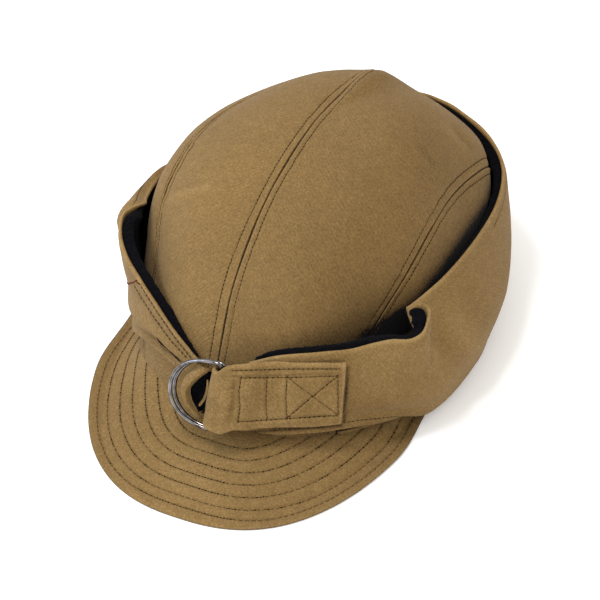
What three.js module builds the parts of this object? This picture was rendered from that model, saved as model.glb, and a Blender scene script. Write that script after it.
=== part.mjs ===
// Earflap cap: short-billed canvas hunting cap with its fleece-lined ear and
// neck flap folded up all round and buckled across the front through two D-rings.
// Millimetres, +Z up. The bill points to -Y, the wearer's left is +X.
import * as THREE from 'three';

// Crown, on its own base plane
const CROWN_HALF_WIDTH = 83.5;
const CROWN_HALF_LENGTH = 108.5;
const CROWN_HEIGHT = 117.5;
const CROWN_CENTRE_Y = 10.5;
const CROWN_LEAN_BACK = 15;
const CROWN_ROUNDNESS = 2.3;
const CROWN_SIDE_SQUARENESS = 0.4;
const CROWN_PLAN_ROUNDNESS = 2.25;
const CROWN_TWIST_DEG = 5;
const CROWN_WALL = 2.4;
const PANEL_PUFF = 1.6;
const SEAM_START_DEG = 45;
const SEAM_END_DEG = 150;
const SEAM_PEAK_DEG = 42;
const SEAM_GAP = 0.2;
const PANEL_ROWS = 20;
// Seam on the wearer's right: share of the way back, azimuth, angle up, and how far
// over the top the centre seam has run there
const RIGHT_SEAM = [
  [0, 34, 0, 0],
  [0.1, 43, 26, 18],
  [0.22, 52, 35.5, 38],
  [0.35, 62, 43.5, 62],
  [0.48, 77, 47.5, 84],
  [0.6, 94, 51, 100],
  [0.72, 116, 56, 112],
  [0.84, 138, 58, 124],
  [0.92, 152, 50, 138],
  [1, 159, 0, 180],
];
// Centre seam: how far over the top in degrees, drift to the wearer's right as a share of the radius
const CENTRE_DRIFT = [
  [0, -0.05],
  [20, -0.036],
  [32, -0.016],
  [45, 0],
  [60, 0.014],
  [75, 0.032],
  [92, 0.05],
  [115, 0.052],
  [150, 0.02],
  [180, 0],
];
// Soft bumps: azimuth and angle up of the middle, spread round, spread up, height
const CROWN_BUMPS = [
  [128, 36, 16, 11, 7],
  [180, 66, 14, 14, 6],
  [-180, 66, 14, 14, 6],
  [-72, 37, 30, 14, 7.4],
  [-122, 52, 26, 12, -2.2],
  [-76, 0, 34, 22, -7],
];
// Dents pressed into the crown where the flap stands away from it
const CROWN_DENTS = [
  [53, 24, 18, 17, -10],
  [-42, 28, 14, 15, -3.6],
  [96, 30, 30, 14, -3],
];
const CROWN_SHAPE = [...CROWN_BUMPS, ...CROWN_DENTS];

// Bill
const BILL_FRONT_Y = -98;
const BILL_LENGTH = 52;
const BILL_HALF_WIDTH = 90;
const BILL_HALF_ANGLE_DEG = 71;
const BILL_TURN_DEG = 1.5;
const BILL_END_Y = -23;
const BILL_DROP_PER_MM = 0.315;
const BILL_ARCH = 12;
const BILL_RISE = 5;
const BILL_THICK = 3.4;
const BILL_OUTLINE_ROUNDNESS = 2.45;

// Flap cloths
const CANVAS_WALL = 1.8;
const FLEECE_WALL = 2.0;
const CLOTH_GAP = 0.35;
const CUT_EDGE = 0.22;
const FLAP_STOPS = [
  0, 0.056, 0.111, 0.167, 0.222, 0.278, 0.333, 0.41,
  0.48, 0.57, 0.667, 0.74, 0.8, 0.86, 0.93, 1,
];
const FLEECE_FROM_STOP = 7;
const FLAP_START_DEG = 15;
const FLAP_END_DEG = 356;
const FLAP_STEP_DEG = 5.8;
const FLAP_BUSY_STEP_DEG = 2.2;
// Where the flap folds under at its foot
const HEM_TO_CROWN = 0.7;
const HEM_LIP = 2.5;
const HEM_RISE = 2;
const HEM_DEPTH = 4.1;

// Buckle
const RING_HEIGHT = 38;
const RING_DEPTH = 26;
const RING_WIRE = 2.4;
const RING_LEAN_DEG = 20;
const RING_BAR_OFFSET = 1.9;
const RING_BOW_POINTS = 20;
const BUCKLE_ANGLE_DEG = 6;
const BUCKLE_HEIGHT = 28;
const BUCKLE_GAP = 12.5;
const TAB_FOLD_WIDTH = 30;
const TAB_THICK = 2.2;
const TAB_START_DEG = 13.2;
const TAB_END_DEG = 43;
const TAB_LOW = [13.6, 18];
const TAB_HIGH = [44.4, 48.7];
const TAB_START_GAP = 13.2;
const TAB_CLEAR = 0.4;
const STRAP_END_REACH = 0.82;
const POCKET_REACH = 0.62;
const POCKET_WALL = 1.4;

// How the cap stands: base plane raised at the front, rear and bill edge pressed flat
const STAND_TILT_DEG = 3;
const STAND_SINK = 0.8;
const REAR_Y = 117;

const RAD = Math.PI / 180;
const clamp = (value, low, high) => Math.min(high, Math.max(low, value));
const smooth = (low, high, value) => {
  const t = clamp((value - low) / (high - low), 0, 1);
  return t * t * (3 - 2 * t);
};
const lerp = (a, b, t) => a + (b - a) * t;
const add = (a, b, scale = 1) => [a[0] + b[0] * scale, a[1] + b[1] * scale, a[2] + b[2] * scale];
const minus = (a, b) => [a[0] - b[0], a[1] - b[1], a[2] - b[2]];
const cross = (a, b) => [
  a[1] * b[2] - a[2] * b[1],
  a[2] * b[0] - a[0] * b[2],
  a[0] * b[1] - a[1] * b[0],
];
const unit = (a) => {
  const size = Math.hypot(a[0], a[1], a[2]) || 1;
  return [a[0] / size, a[1] / size, a[2] / size];
};

// Smooth reading of a table of rows, first column the angle
function read(table, angle) {
  const last = table.length - 1;
  let i = 0;
  while (i < last - 1 && table[i + 1][0] <= angle) i += 1;
  const p1 = table[i];
  const p2 = table[i + 1];
  const p0 = table[Math.max(0, i - 1)];
  const p3 = table[Math.min(last, i + 2)];
  const span = p2[0] - p1[0];
  const t = clamp((angle - p1[0]) / span, 0, 1);
  return p1.map((_, c) => {
    if (c === 0) return angle;
    const before = p1[0] - p0[0] || span;
    const after = p3[0] - p2[0] || span;
    const m1 = ((p2[c] - p1[c]) / span + (p1[c] - p0[c]) / before) * 0.5 * span;
    const m2 = ((p3[c] - p2[c]) / after + (p2[c] - p1[c]) / span) * 0.5 * span;
    const t2 = t * t;
    const t3 = t2 * t;
    return (2 * t3 - 3 * t2 + 1) * p1[c] + (t3 - 2 * t2 + t) * m1
      + (3 * t2 - 2 * t3) * p2[c] + (t3 - t2) * m2;
  });
}

// The arched bill lifts the crown's lower edge at the front and pulls its corners down
function baseDip(alpha) {
  const turned = alpha - CROWN_TWIST_DEG * RAD;
  const front = 1 - smooth(62, 84, Math.abs(turned) / RAD);
  return front * (BILL_ARCH * Math.sin(turned) ** 2 - BILL_RISE);
}

function twist(x, y, z) {
  const w = -CROWN_TWIST_DEG * RAD;
  return [x * Math.cos(w) - y * Math.sin(w), x * Math.sin(w) + y * Math.cos(w), z];
}

// Point on the crown's outer surface: azimuth from the front, angle up from the base
function crownPoint(alpha, beta, out = 0, shape = CROWN_SHAPE) {
  const n = CROWN_ROUNDNESS + CROWN_SIDE_SQUARENESS * Math.sin(alpha) ** 2;
  const c = Math.abs(Math.cos(beta));
  const s = Math.abs(Math.sin(beta));
  const m = (c ** n + s ** n) ** (-1 / n);
  const k = c * m;
  const h = s * m;
  const q = CROWN_PLAN_ROUNDNESS;
  const plan = (Math.abs(Math.sin(alpha)) ** q + Math.abs(Math.cos(alpha)) ** q) ** (-1 / q);
  let bulge = out;
  for (const [azimuth, up, spread, rise, height] of shape) {
    const round = (alpha / RAD - azimuth) / spread;
    const over = (beta / RAD - up) / rise;
    bulge += height * Math.exp(-(round ** 2) - over ** 2);
  }
  const grow = 1 + bulge / CROWN_HALF_LENGTH;
  const x = CROWN_HALF_WIDTH * k * plan * Math.sin(alpha) * grow;
  const y = CROWN_CENTRE_Y - CROWN_HALF_LENGTH * k * plan * Math.cos(alpha) * grow
    + CROWN_LEAN_BACK * h;
  const z = CROWN_HEIGHT * h * grow - baseDip(alpha) * (1 - smooth(0, 0.35, h));
  return twist(x, y, z);
}

// Level ring round the undented crown at height z, with its outward direction
function crownRing(alpha, z) {
  const n = CROWN_ROUNDNESS + CROWN_SIDE_SQUARENESS * Math.sin(alpha) ** 2;
  const h = clamp(z / CROWN_HEIGHT, 0, 0.98);
  const k = (1 - h ** n) ** (1 / n);
  const beta = Math.atan2(h, k);
  const step = 0.02;
  const at = crownPoint(alpha, beta, 0, CROWN_BUMPS);
  const ahead = crownPoint(alpha + step, beta, 0, CROWN_BUMPS);
  const behind = crownPoint(alpha - step, beta, 0, CROWN_BUMPS);
  const along = unit([ahead[0] - behind[0], ahead[1] - behind[1], 0]);
  return { at: [at[0], at[1], z], out: [along[1], -along[0], 0], along };
}

function gapPoint(alpha, gap, z) {
  const ring = crownRing(alpha, z);
  return add(ring.at, ring.out, gap);
}

// Stand the cap on the floor
function stand(p) {
  const t = STAND_TILT_DEG * RAD;
  const y = p[1] - REAR_Y;
  return [
    p[0],
    y * Math.cos(t) + p[2] * Math.sin(t) + REAR_Y,
    p[2] * Math.cos(t) - y * Math.sin(t) + 2.1 - STAND_SINK,
  ];
}

// Closed body from two matching grids of points; rows may join end to end
function body(outer, inner, ring = false) {
  const rows = outer.length;
  const cols = outer[0].length;
  const points = [...outer.flat(), ...inner.flat()];
  const faces = [];
  const id = (side, i, j) => side * rows * cols + (i % rows) * cols + j;
  const quad = (a, b, c, d) => faces.push([a, b, c], [a, c, d]);
  const end = ring ? rows : rows - 1;
  for (let i = 0; i < end; i += 1) {
    for (let j = 0; j < cols - 1; j += 1) {
      quad(id(0, i, j), id(0, i + 1, j), id(0, i + 1, j + 1), id(0, i, j + 1));
      quad(id(1, i, j), id(1, i, j + 1), id(1, i + 1, j + 1), id(1, i + 1, j));
    }
    quad(id(0, i, 0), id(1, i, 0), id(1, i + 1, 0), id(0, i + 1, 0));
    quad(id(0, i + 1, cols - 1), id(1, i + 1, cols - 1), id(1, i, cols - 1), id(0, i, cols - 1));
  }
  if (!ring) {
    for (let j = 0; j < cols - 1; j += 1) {
      quad(id(0, 0, j), id(0, 0, j + 1), id(1, 0, j + 1), id(1, 0, j));
      const r = rows - 1;
      quad(id(0, r, j + 1), id(0, r, j), id(1, r, j), id(1, r, j + 1));
    }
  }
  let volume = 0;
  for (const [a, b, c] of faces) {
    const n = cross(points[b], points[c]);
    volume += points[a][0] * n[0] + points[a][1] * n[1] + points[a][2] * n[2];
  }
  return { points, faces: volume < 0 ? faces.map(([a, b, c]) => [a, c, b]) : faces };
}

// Cloth of even thickness behind a face given as rows of points, never under the floor.
// A cut keeps the columns from `cut` on and draws the other edges in a little.
function cloth(face, back, floors = [0, 0], cut = 0) {
  const rows = face.length;
  const cols = face[0].length;
  const normal = (i, j) => {
    const u = minus(face[Math.min(rows - 1, i + 1)][j], face[Math.max(0, i - 1)][j]);
    const v = minus(face[i][Math.min(cols - 1, j + 1)], face[i][Math.max(0, j - 1)]);
    return unit(cross(u, v));
  };
  const side = (k) => {
    const moved = face.map((row, i) => row.map((p, j) => {
      const q = add(p, normal(i, j), -back[k]);
      return [q[0], q[1], Math.max(q[2], floors[k])];
    }));
    if (cut === 0) return moved;
    const mix = (a, b) => [0, 1, 2].map((c) => lerp(a[c], b[c], CUT_EDGE));
    const kept = moved.map((row) => {
      const part = row.slice(cut);
      part[part.length - 1] = mix(part[part.length - 1], part[part.length - 2]);
      return part;
    });
    const first = kept[0].map((p, j) => mix(p, kept[1][j]));
    const last = kept[rows - 1].map((p, j) => mix(p, kept[rows - 2][j]));
    return [first, ...kept.slice(1, -1), last];
  };
  return body(side(0), side(1));
}

// Side seams of the crown as a direction, u from front to back
function sideSeam(u) {
  const alpha = lerp(SEAM_START_DEG, SEAM_END_DEG, u) * RAD;
  const beta = SEAM_PEAK_DEG * RAD * Math.sqrt(Math.max(0, Math.sin(Math.PI * u)));
  return [alpha, beta];
}
function rightSeam(u) {
  const [, azimuth, up] = read(RIGHT_SEAM, u);
  return [azimuth * RAD, Math.max(0, up) * RAD];
}
const direction = ([alpha, beta]) => [
  Math.sin(alpha) * Math.cos(beta),
  -Math.cos(alpha) * Math.cos(beta),
  Math.sin(beta),
];
const angles = (d) => [Math.atan2(d[0], -d[1]), Math.atan2(d[2], Math.hypot(d[0], d[1]))];

// One crown panel between two edges, side -1 the wearer's right and +1 the left
function crownPanel(side, edgeA, edgeB, cols, trim) {
  const outer = [];
  const inner = [];
  for (let i = trim; i <= PANEL_ROWS - trim; i += 1) {
    const u = 0.5 - 0.5 * Math.cos((Math.PI * i) / PANEL_ROWS);
    const a = direction(edgeA(u));
    const b = direction(edgeB(u));
    const width = Math.max(4, Math.hypot(...minus(crownPoint(...edgeA(u)), crownPoint(...edgeB(u)))));
    const face = [];
    const back = [];
    for (let j = 0; j <= cols; j += 1) {
      const v = lerp(SEAM_GAP / width, 1 - SEAM_GAP / width, j / cols);
      const mix = [lerp(a[0], b[0], v), lerp(a[1], b[1], v), lerp(a[2], b[2], v)];
      const [alpha, beta] = angles(unit(mix));
      const puff = PANEL_PUFF * (4 * v * (1 - v)) ** 0.6 * smooth(4, 30, beta / RAD) - 0.5;
      face.push(stand(crownPoint(side * alpha, beta, puff)));
      back.push(stand(crownPoint(side * alpha, beta, puff - CROWN_WALL)));
    }
    outer.push(face);
    inner.push(back);
  }
  return body(outer, inner);
}
// Centre seam seen from the panel on one side of it
function overTop(over, side) {
  const drift = read(CENTRE_DRIFT, over / RAD)[1] * side;
  return angles([drift, -Math.cos(over), Math.sin(over)]);
}
const centreEdge = (u) => overTop(Math.PI * u, -1);
const rightCentre = (u) => overTop(clamp(read(RIGHT_SEAM, u)[3], 0, 180) * RAD, 1);
const baseEdge = (u) => [lerp(SEAM_START_DEG, SEAM_END_DEG, u) * RAD, 0];
const rightBase = (u) => [rightSeam(u)[0], 0];

// Bill: upper face from the crown's edge (v = 0) to the rim (v = 1)
function billPoint(t, v, depth) {
  const half = BILL_HALF_ANGLE_DEG * RAD;
  const [x0, y0] = crownPoint(t * half + CROWN_TWIST_DEG * RAD, 0, -1.6);
  const edge = BILL_HALF_WIDTH * Math.sin(t * Math.PI * 0.49) * (1 - 0.045 * smooth(0.8, 1, Math.abs(t)));
  const reach = BILL_FRONT_Y - BILL_LENGTH - BILL_END_Y;
  const ahead = (1 - Math.abs(Math.sin(t * Math.PI * 0.49)) ** BILL_OUTLINE_ROUNDNESS) ** 0.5;
  const turn = BILL_TURN_DEG * RAD;
  const ye = BILL_END_Y + reach * ahead + edge * Math.sin(turn);
  const xe = edge * Math.cos(turn) - reach * ahead * Math.sin(turn);
  const x = lerp(x0, xe, v);
  const y = lerp(y0, ye, v);
  const run = Math.hypot(x - x0, y - y0);
  const sewn = -baseDip(t * half + CROWN_TWIST_DEG * RAD);
  const arched = BILL_RISE - BILL_ARCH * (x / BILL_HALF_WIDTH) ** 2;
  const z = lerp(sewn, arched, smooth(0, 0.5, v)) - BILL_DROP_PER_MM * run - depth;
  return stand([x, y, z]);
}

function billBody(rows, cols) {
  const top = [];
  const under = [];
  for (let i = 0; i <= rows; i += 1) {
    const t = lerp(-1, 1, i / rows);
    const a = [];
    const b = [];
    for (let j = 0; j <= cols; j += 1) {
      const v = j / cols;
      const thin = v > 0.99 ? 0.9 : 0;
      const p = billPoint(t, v, 0.6 + thin);
      const q = billPoint(t, v, 0.6 + BILL_THICK - thin);
      a.push([p[0], p[1], Math.max(p[2], 1.6)]);
      b.push([q[0], q[1], Math.max(q[2], 0)]);
    }
    top.push(a);
    under.push(b);
  }
  return body(top, under);
}

// Flap all round, angle from the front to the wearer's left and on round the back:
// lower edge, upper edge, how far it folds under, outward reach low, half way and on top,
// reach of the inward roll below the upper edge, share of that roll
const FLAP = [
  [8, 7.5, 41, 0, 4.6, 5.4, 5.2, 6, 0],
  [24, 8, 50, 0, 4.6, 5.8, 5.6, 6, 0],
  [37, 8, 52, 0, 4.8, 6.5, 6.4, 7, 0],
  [46, 7, 51.5, 0, 5.5, 7.5, 7.2, 8, 0],
  [51, 6, 53, 0.1, 6.5, 9.5, 9.5, 10, 0],
  [55, 5.2, 55, 0.2, 8, 12, 14, 12, 0],
  [60, 4.2, 55, 0.35, 10, 15, 19.5, 14, 0],
  [63, 3.6, 59, 0.5, 11.5, 16.5, 22, 14, 0],
  [65, 3.2, 65, 0.65, 12.5, 17.5, 21, 14, 0],
  [67, 3, 66, 0.8, 13.5, 18, 14, 14, 0],
  [70, 2.6, 62, 0.95, 14.5, 18.5, 7.5, 12, 0],
  [81, 1.4, 63, 1, 15.5, 19, 6.6, 12, 0],
  [92, 0.4, 63.5, 1, 15, 18.5, 6.6, 12, 0],
  [102, 0, 63.5, 1, 13, 16.5, 6.6, 12, 0],
  [116, 0, 64, 1, 10.5, 13, 7, 12, 0],
  [128, 0, 70, 1, 9.6, 12.5, 8.5, 12, 0],
  [140, 0, 76, 1, 9.6, 13.5, 9.5, 12, 0],
  [155, 0, 80, 1, 9.6, 14.5, 9.5, 12, 0],
  [170, 0, 80, 1, 9.6, 14, 8.5, 12, 0],
  [185, 0, 77, 1, 9.6, 13, 7, 12, 0],
  [210, 0, 71, 1, 9.6, 12.6, 5.2, 12, 0],
  [240, 0, 67, 1, 9, 12, 4.9, 9, 0],
  [258, 0.5, 65, 1, 8.2, 10.4, 4.9, 8, 0.2],
  [270, 1.2, 63.5, 1, 7.8, 9.6, 4.9, 8, 0.5],
  [280, 2, 64, 1, 7.4, 9.6, 4.9, 9.8, 1],
  [288, 3, 64.5, 0.9, 6.8, 9.4, 4.9, 12.6, 1],
  [295, 4.4, 66.5, 0.6, 6, 8.6, 4.9, 15.4, 1],
  [299.5, 6, 70, 0.4, 5.2, 8, 5.2, 17.2, 0.95],
  [302.5, 7.6, 72.5, 0.25, 4.8, 7.6, 9.5, 17.4, 0.5],
  [306, 9.4, 72, 0.15, 4.4, 7.4, 16.8, 17, 0.05],
  [311, 13, 69, 0, 4.2, 7.4, 18.5, 16, 0],
  [318, 18, 65, 0, 4.2, 7.4, 17, 13, 0],
  [327, 26, 60.5, 0, 4.4, 7.2, 13.5, 11, 0],
  [336, 29.5, 55, 0, 4.6, 6.6, 10.5, 8, 0],
  [344, 30, 48.5, 0, 4.8, 5.8, 8.5, 6, 0],
  [351, 28, 42, 0, 4.7, 5.2, 6.4, 5, 0],
  [356, 25, 37.5, 0, 4.6, 4.9, 5.2, 5, 0],
];

function flapPath(angle) {
  const [, low, high, fold, foot, belly, top, wide, roll] = read(FLAP, angle);
  const alpha = (angle > 180 ? angle - 360 : angle) * RAD;
  const base = low - Math.max(0, baseDip(alpha)) * fold;
  const short = Math.min(1, (high - base) / 40);
  const level = (share) => lerp(base, high, share);
  const half = foot / 2 - HEM_TO_CROWN / 2;
  const lip = HEM_LIP * smooth(0.75, 1, fold);
  const under = [0, 1, 2, 3].map((k) => {
    const turned = Math.PI * fold * (1 - k / 4);
    const bowl = HEM_RISE - HEM_DEPTH * Math.sin(turned);
    const z = base + lerp(1.5 * k * short, bowl, fold) + (k === 0 ? lip : 0);
    return [foot - half * (1 - Math.cos(turned)), z];
  });
  const knots = [
    ...under,
    [foot, base + lerp(7 * short, 6, fold)],
    [lerp(foot, belly, 0.75), level(0.26)],
    [belly, level(0.48)],
    [lerp(lerp(belly, top, 0.45), wide, roll), level(lerp(0.74, 0.82, roll))],
    [lerp(lerp(belly, top, 0.75), lerp(wide, top, 0.4), roll), level(lerp(0.88, 1.01, roll))],
    [top, high],
  ];
  return { alpha, knots };
}

// Cross-section of the flap at an angle, from the fold to the upper edge
function flapRow(angle) {
  const { alpha, knots } = flapPath(angle);
  const curve = new THREE.CatmullRomCurve3(
    knots.map(([g, z]) => new THREE.Vector3(g, z, 0)),
    false,
    'centripetal',
  );
  return FLAP_STOPS.map((stop) => {
    const p = curve.getPoint(stop);
    return stand(gapPoint(alpha, p.x, p.y));
  });
}

function flapFace() {
  const face = [];
  let angle = FLAP_START_DEG;
  while (angle < FLAP_END_DEG - 1) {
    face.push(flapRow(angle));
    const busy = (angle > 50 && angle < 72) || (angle > 284 && angle < 309);
    angle += busy ? FLAP_BUSY_STEP_DEG : FLAP_STEP_DEG;
  }
  face.push(flapRow(FLAP_END_DEG));
  return face;
}

// Wire bent to a closed loop of points
function wireLoop(loop, radius, sides) {
  const count = loop.length;
  const mean = loop.reduce((sum, p) => add(sum, p, 1 / count), [0, 0, 0]);
  const outer = [];
  let normal = [0, 0, 0];
  for (let i = 0; i < count; i += 1) {
    normal = add(normal, cross(minus(loop[i], mean), minus(loop[(i + 1) % count], mean)));
  }
  normal = unit(normal);
  for (let i = 0; i < count; i += 1) {
    const tangent = unit(minus(loop[(i + 1) % count], loop[(i + count - 1) % count]));
    const side = unit(cross(tangent, normal));
    const row = [];
    for (let j = 0; j < sides; j += 1) {
      const a = (j / sides) * 2 * Math.PI;
      row.push(add(add(loop[i], side, Math.cos(a) * radius), normal, Math.sin(a) * radius));
    }
    outer.push(row);
  }
  const points = outer.flat();
  const faces = [];
  for (let i = 0; i < count; i += 1) {
    for (let j = 0; j < sides; j += 1) {
      const a = i * sides + j;
      const b = ((i + 1) % count) * sides + j;
      const c = ((i + 1) % count) * sides + ((j + 1) % sides);
      const d = i * sides + ((j + 1) % sides);
      faces.push([a, b, c], [a, c, d]);
    }
  }
  let volume = 0;
  for (const [a, b, c] of faces) {
    const n = cross(points[b], points[c]);
    volume += points[a][0] * n[0] + points[a][1] * n[1] + points[a][2] * n[2];
  }
  return { points, faces: volume < 0 ? faces.map(([a, b, c]) => [a, c, b]) : faces };
}

// Frame of the buckle: p runs to the wearer's left, q up the ring, n outward
const buckleRing = crownRing(BUCKLE_ANGLE_DEG * RAD, BUCKLE_HEIGHT);
const buckleCentre = add(buckleRing.at, buckleRing.out, BUCKLE_GAP);
const lean = RING_LEAN_DEG * RAD;
const buckleOut = [
  buckleRing.out[0] * Math.cos(lean),
  buckleRing.out[1] * Math.cos(lean),
  Math.sin(lean),
];
const buckleRight = buckleRing.along;
const buckleUp = cross(buckleOut, buckleRight).map((value) => -value);
function bucklePoint(p, q, n) {
  const upward = buckleUp[2] < 0 ? -1 : 1;
  return stand(add(add(add(buckleCentre, buckleRight, p), buckleUp, q * upward), buckleOut, n));
}

// D-ring: straight bar at p = 0, bow towards the wearer's right
function ringLoop(shiftP, shiftQ, shiftN, turnDeg) {
  const half = (RING_HEIGHT - RING_WIRE) / 2;
  const depth = RING_DEPTH - RING_WIRE;
  const bar = RING_BAR_OFFSET;
  const loop = [];
  for (let i = 0; i <= RING_BOW_POINTS; i += 1) {
    const a = (i / RING_BOW_POINTS - 0.5) * Math.PI;
    loop.push([-depth * Math.cos(a) ** 0.8, half * Math.sin(a)]);
  }
  loop.push([bar * 0.63, half * 0.93], [bar, half * 0.8], [bar, half * 0.4], [bar, 0]);
  loop.push([bar, -half * 0.4], [bar, -half * 0.8], [bar * 0.63, -half * 0.93]);
  const turn = turnDeg * RAD;
  return loop.map(([p, q]) => bucklePoint(
    shiftP + p * Math.cos(turn),
    shiftQ + q,
    shiftN - p * Math.sin(turn),
  ));
}

// Tab: cloth loop folded round the ring bars, section given as along, outward
const TAB_SECTION = [
  [12, -6.4],
  [8, -6.9],
  [4.2, -7.1],
  [0.6, -6.9],
  [-2.2, -5.4],
  [-3.6, -2.6],
  [-3.6, 0.6],
  [-2.2, 3.6],
  [0.8, 5.3],
  [4.5, 5.6],
  [8.5, 5],
];
// Outline of the tab: steps from the fold's front, rise of its top edge and of its bottom edge
const TAB_FLARE = [
  [-2, 0, 0],
  [-1, 3.6, 0],
  [0, 5.8, 0],
  [1, 6, 2.3],
  [2, 5.4, 1.7],
  [3, 3.4, 0.7],
  [4, 3, 0],
  [6, 2, 0],
  [8, 1.2, -1],
  [10, 0, -2],
  [12, -2, -3.2],
];
function tabFace(cols) {
  const rows = [];
  const front = 12;
  const rise = (step, share) => lerp(read(TAB_FLARE, step)[2], read(TAB_FLARE, step)[1], share);
  const up = (step, share) => lerp(-TAB_FOLD_WIDTH / 2, TAB_FOLD_WIDTH / 2, share) + rise(step, share);
  TAB_SECTION.forEach(([along, out], k) => {
    const step = k + 1 - TAB_SECTION.length;
    const row = [];
    for (let j = 0; j <= cols; j += 1) row.push(bucklePoint(along + 1, up(step, j / cols), out));
    rows.push(row);
  });
  for (let i = 1; i <= front; i += 1) {
    const t = i / front;
    const angle = lerp(TAB_START_DEG, TAB_END_DEG, t);
    const reachOfFlap = read(FLAP, angle)[5];
    const row = [];
    for (let j = 0; j <= cols; j += 1) {
      const z = lerp(lerp(...TAB_LOW, t), lerp(...TAB_HIGH, t), j / cols) + rise(i, j / cols);
      const gap = lerp(TAB_START_GAP, reachOfFlap + TAB_THICK + TAB_CLEAR, smooth(0, 0.45, t));
      const settled = stand(gapPoint(angle * RAD, gap, z));
      const mix = Math.min(1, i / 3);
      const flat = bucklePoint(9 + 5 * i, up(i, j / cols), 4.6 - 0.5 * i);
      row.push([0, 1, 2].map((c) => lerp(flat[c], settled[c], mix)));
    }
    rows.push(row);
  }
  return rows;
}

// Strap end turned back through the rings, seen up the ring in rows of
// height, left edge, right edge: a bulging outer leaf and its fleece pocket
const TURN_EDGES = [
  [-1, -10, -4],
  [-0.5, -15.2, -8.6],
  [0, -18.2, -10.4],
  [0.5, -17, -8.6],
  [1, -12, -4.6],
];
const POCKET_EDGES = [
  [-1, -6.8, -5.4],
  [-0.5, -9.6, -4.4],
  [0, -10.2, -3.8],
  [0.5, -7.8, -3.9],
  [1, -5.4, -4.2],
];
// share of the way across, outward
const TURN_SECTION = [
  [0, -2],
  [0.1, 0.2],
  [0.28, 2.2],
  [0.5, 3.4],
  [0.74, 3.2],
  [0.92, 1.8],
  [1, 0.4],
];
const POCKET_SECTION = [
  [0, -2.6],
  [0.3, -4],
  [0.7, -4.2],
  [1, -2.2],
];
function leafFace(edges, section, reach, droop, flatten, cols) {
  const half = (RING_HEIGHT - 2 * RING_WIRE) / 2;
  return section.map(([share, out]) => {
    const row = [];
    for (let j = 0; j <= cols; j += 1) {
      const q = lerp(-1, 1, j / cols);
      const [, left, right] = read(edges, q);
      const stands = out * (1 - flatten * q * q) - droop * q * q;
      row.push(bucklePoint(lerp(left, right, share), q * half * reach - 0.6, stands));
    }
    return row;
  });
}

// Assembly
const group = new THREE.Group();
group.name = 'earflap_cap';
const CANVAS = { color: 0x93784a, roughness: 0.9, metalness: 0 };
const CANVAS_DARK = { color: 0x8a7044, roughness: 0.9, metalness: 0 };
const FLEECE = { color: 0x15161c, roughness: 1, metalness: 0 };
const NICKEL = { color: 0xb4b2b0, roughness: 0.3, metalness: 1 };
const flap = flapFace();
const fleeceFront = CANVAS_WALL + CLOTH_GAP;
const fleeceBack = fleeceFront + FLEECE_WALL;
const leaf = leafFace(TURN_EDGES, TURN_SECTION, STRAP_END_REACH, 2, 0.68, 6);
const pocket = leafFace(POCKET_EDGES, POCKET_SECTION, POCKET_REACH, 0.6, 0, 5);
const lining = [fleeceFront, fleeceBack];
const pieces = [
  ['crown_right_side_panel', crownPanel(-1, rightSeam, rightBase, 6, 1), CANVAS],
  ['crown_right_top_panel', crownPanel(-1, rightCentre, rightSeam, 9, 0), CANVAS],
  ['crown_left_top_panel', crownPanel(1, centreEdge, sideSeam, 9, 0), CANVAS],
  ['crown_left_side_panel', crownPanel(1, sideSeam, baseEdge, 6, 1), CANVAS],
  ['bill', billBody(26, 6), CANVAS],
  ['flap_canvas', cloth(flap, [0, CANVAS_WALL], [0, CANVAS_WALL]), CANVAS],
  ['flap_fleece', cloth(flap, lining, lining, FLEECE_FROM_STOP), FLEECE],
  ['ring_tab', cloth(tabFace(4), [0, TAB_THICK]), CANVAS_DARK],
  ['ring_outer', wireLoop(ringLoop(0.6, 0.4, 0.6, 3), RING_WIRE / 2, 6), NICKEL],
  ['ring_inner', wireLoop(ringLoop(1.6, -0.8, -3, 0), RING_WIRE / 2, 6), NICKEL],
  ['strap_end', cloth(leaf, [0, CANVAS_WALL]), CANVAS],
  ['strap_end_fleece', cloth(pocket, [0, POCKET_WALL]), FLEECE],
];

const box = new THREE.Box3();
for (const [, solid] of pieces) {
  for (const p of solid.points) box.expandByPoint(new THREE.Vector3(...p));
}
const middle = box.getCenter(new THREE.Vector3());
for (const [name, solid, look] of pieces) {
  const geometry = new THREE.BufferGeometry();
  const xyz = solid.points.flatMap((p) => [p[0] - middle.x, p[1] - middle.y, p[2] - box.min.z]);
  geometry.setAttribute('position', new THREE.Float32BufferAttribute(xyz, 3));
  geometry.setIndex(solid.faces.flat());
  geometry.computeVertexNormals();
  const mesh = new THREE.Mesh(geometry, new THREE.MeshStandardMaterial(look));
  mesh.name = name;
  group.add(mesh);
}

export default group;
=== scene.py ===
import math

import bpy
import numpy as np
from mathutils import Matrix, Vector
from mathutils.bvhtree import BVHTree


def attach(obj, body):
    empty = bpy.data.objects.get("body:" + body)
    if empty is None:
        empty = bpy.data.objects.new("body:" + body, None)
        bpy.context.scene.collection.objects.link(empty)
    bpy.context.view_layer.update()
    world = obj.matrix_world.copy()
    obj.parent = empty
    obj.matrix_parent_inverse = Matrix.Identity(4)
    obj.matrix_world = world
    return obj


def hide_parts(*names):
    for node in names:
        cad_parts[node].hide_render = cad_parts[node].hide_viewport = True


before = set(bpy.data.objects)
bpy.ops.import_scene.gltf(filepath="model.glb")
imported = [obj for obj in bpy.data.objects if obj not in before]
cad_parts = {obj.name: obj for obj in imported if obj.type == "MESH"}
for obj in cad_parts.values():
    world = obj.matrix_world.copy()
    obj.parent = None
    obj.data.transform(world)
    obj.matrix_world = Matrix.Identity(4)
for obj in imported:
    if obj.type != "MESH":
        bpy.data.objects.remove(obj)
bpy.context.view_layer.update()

# Earflap cap. Sizes are in millimetres, as in the part's source, until place() turns them to metres.
MID = np.array([5.1509, -7.6113, 0.0])
RAD = math.pi / 180

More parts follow.
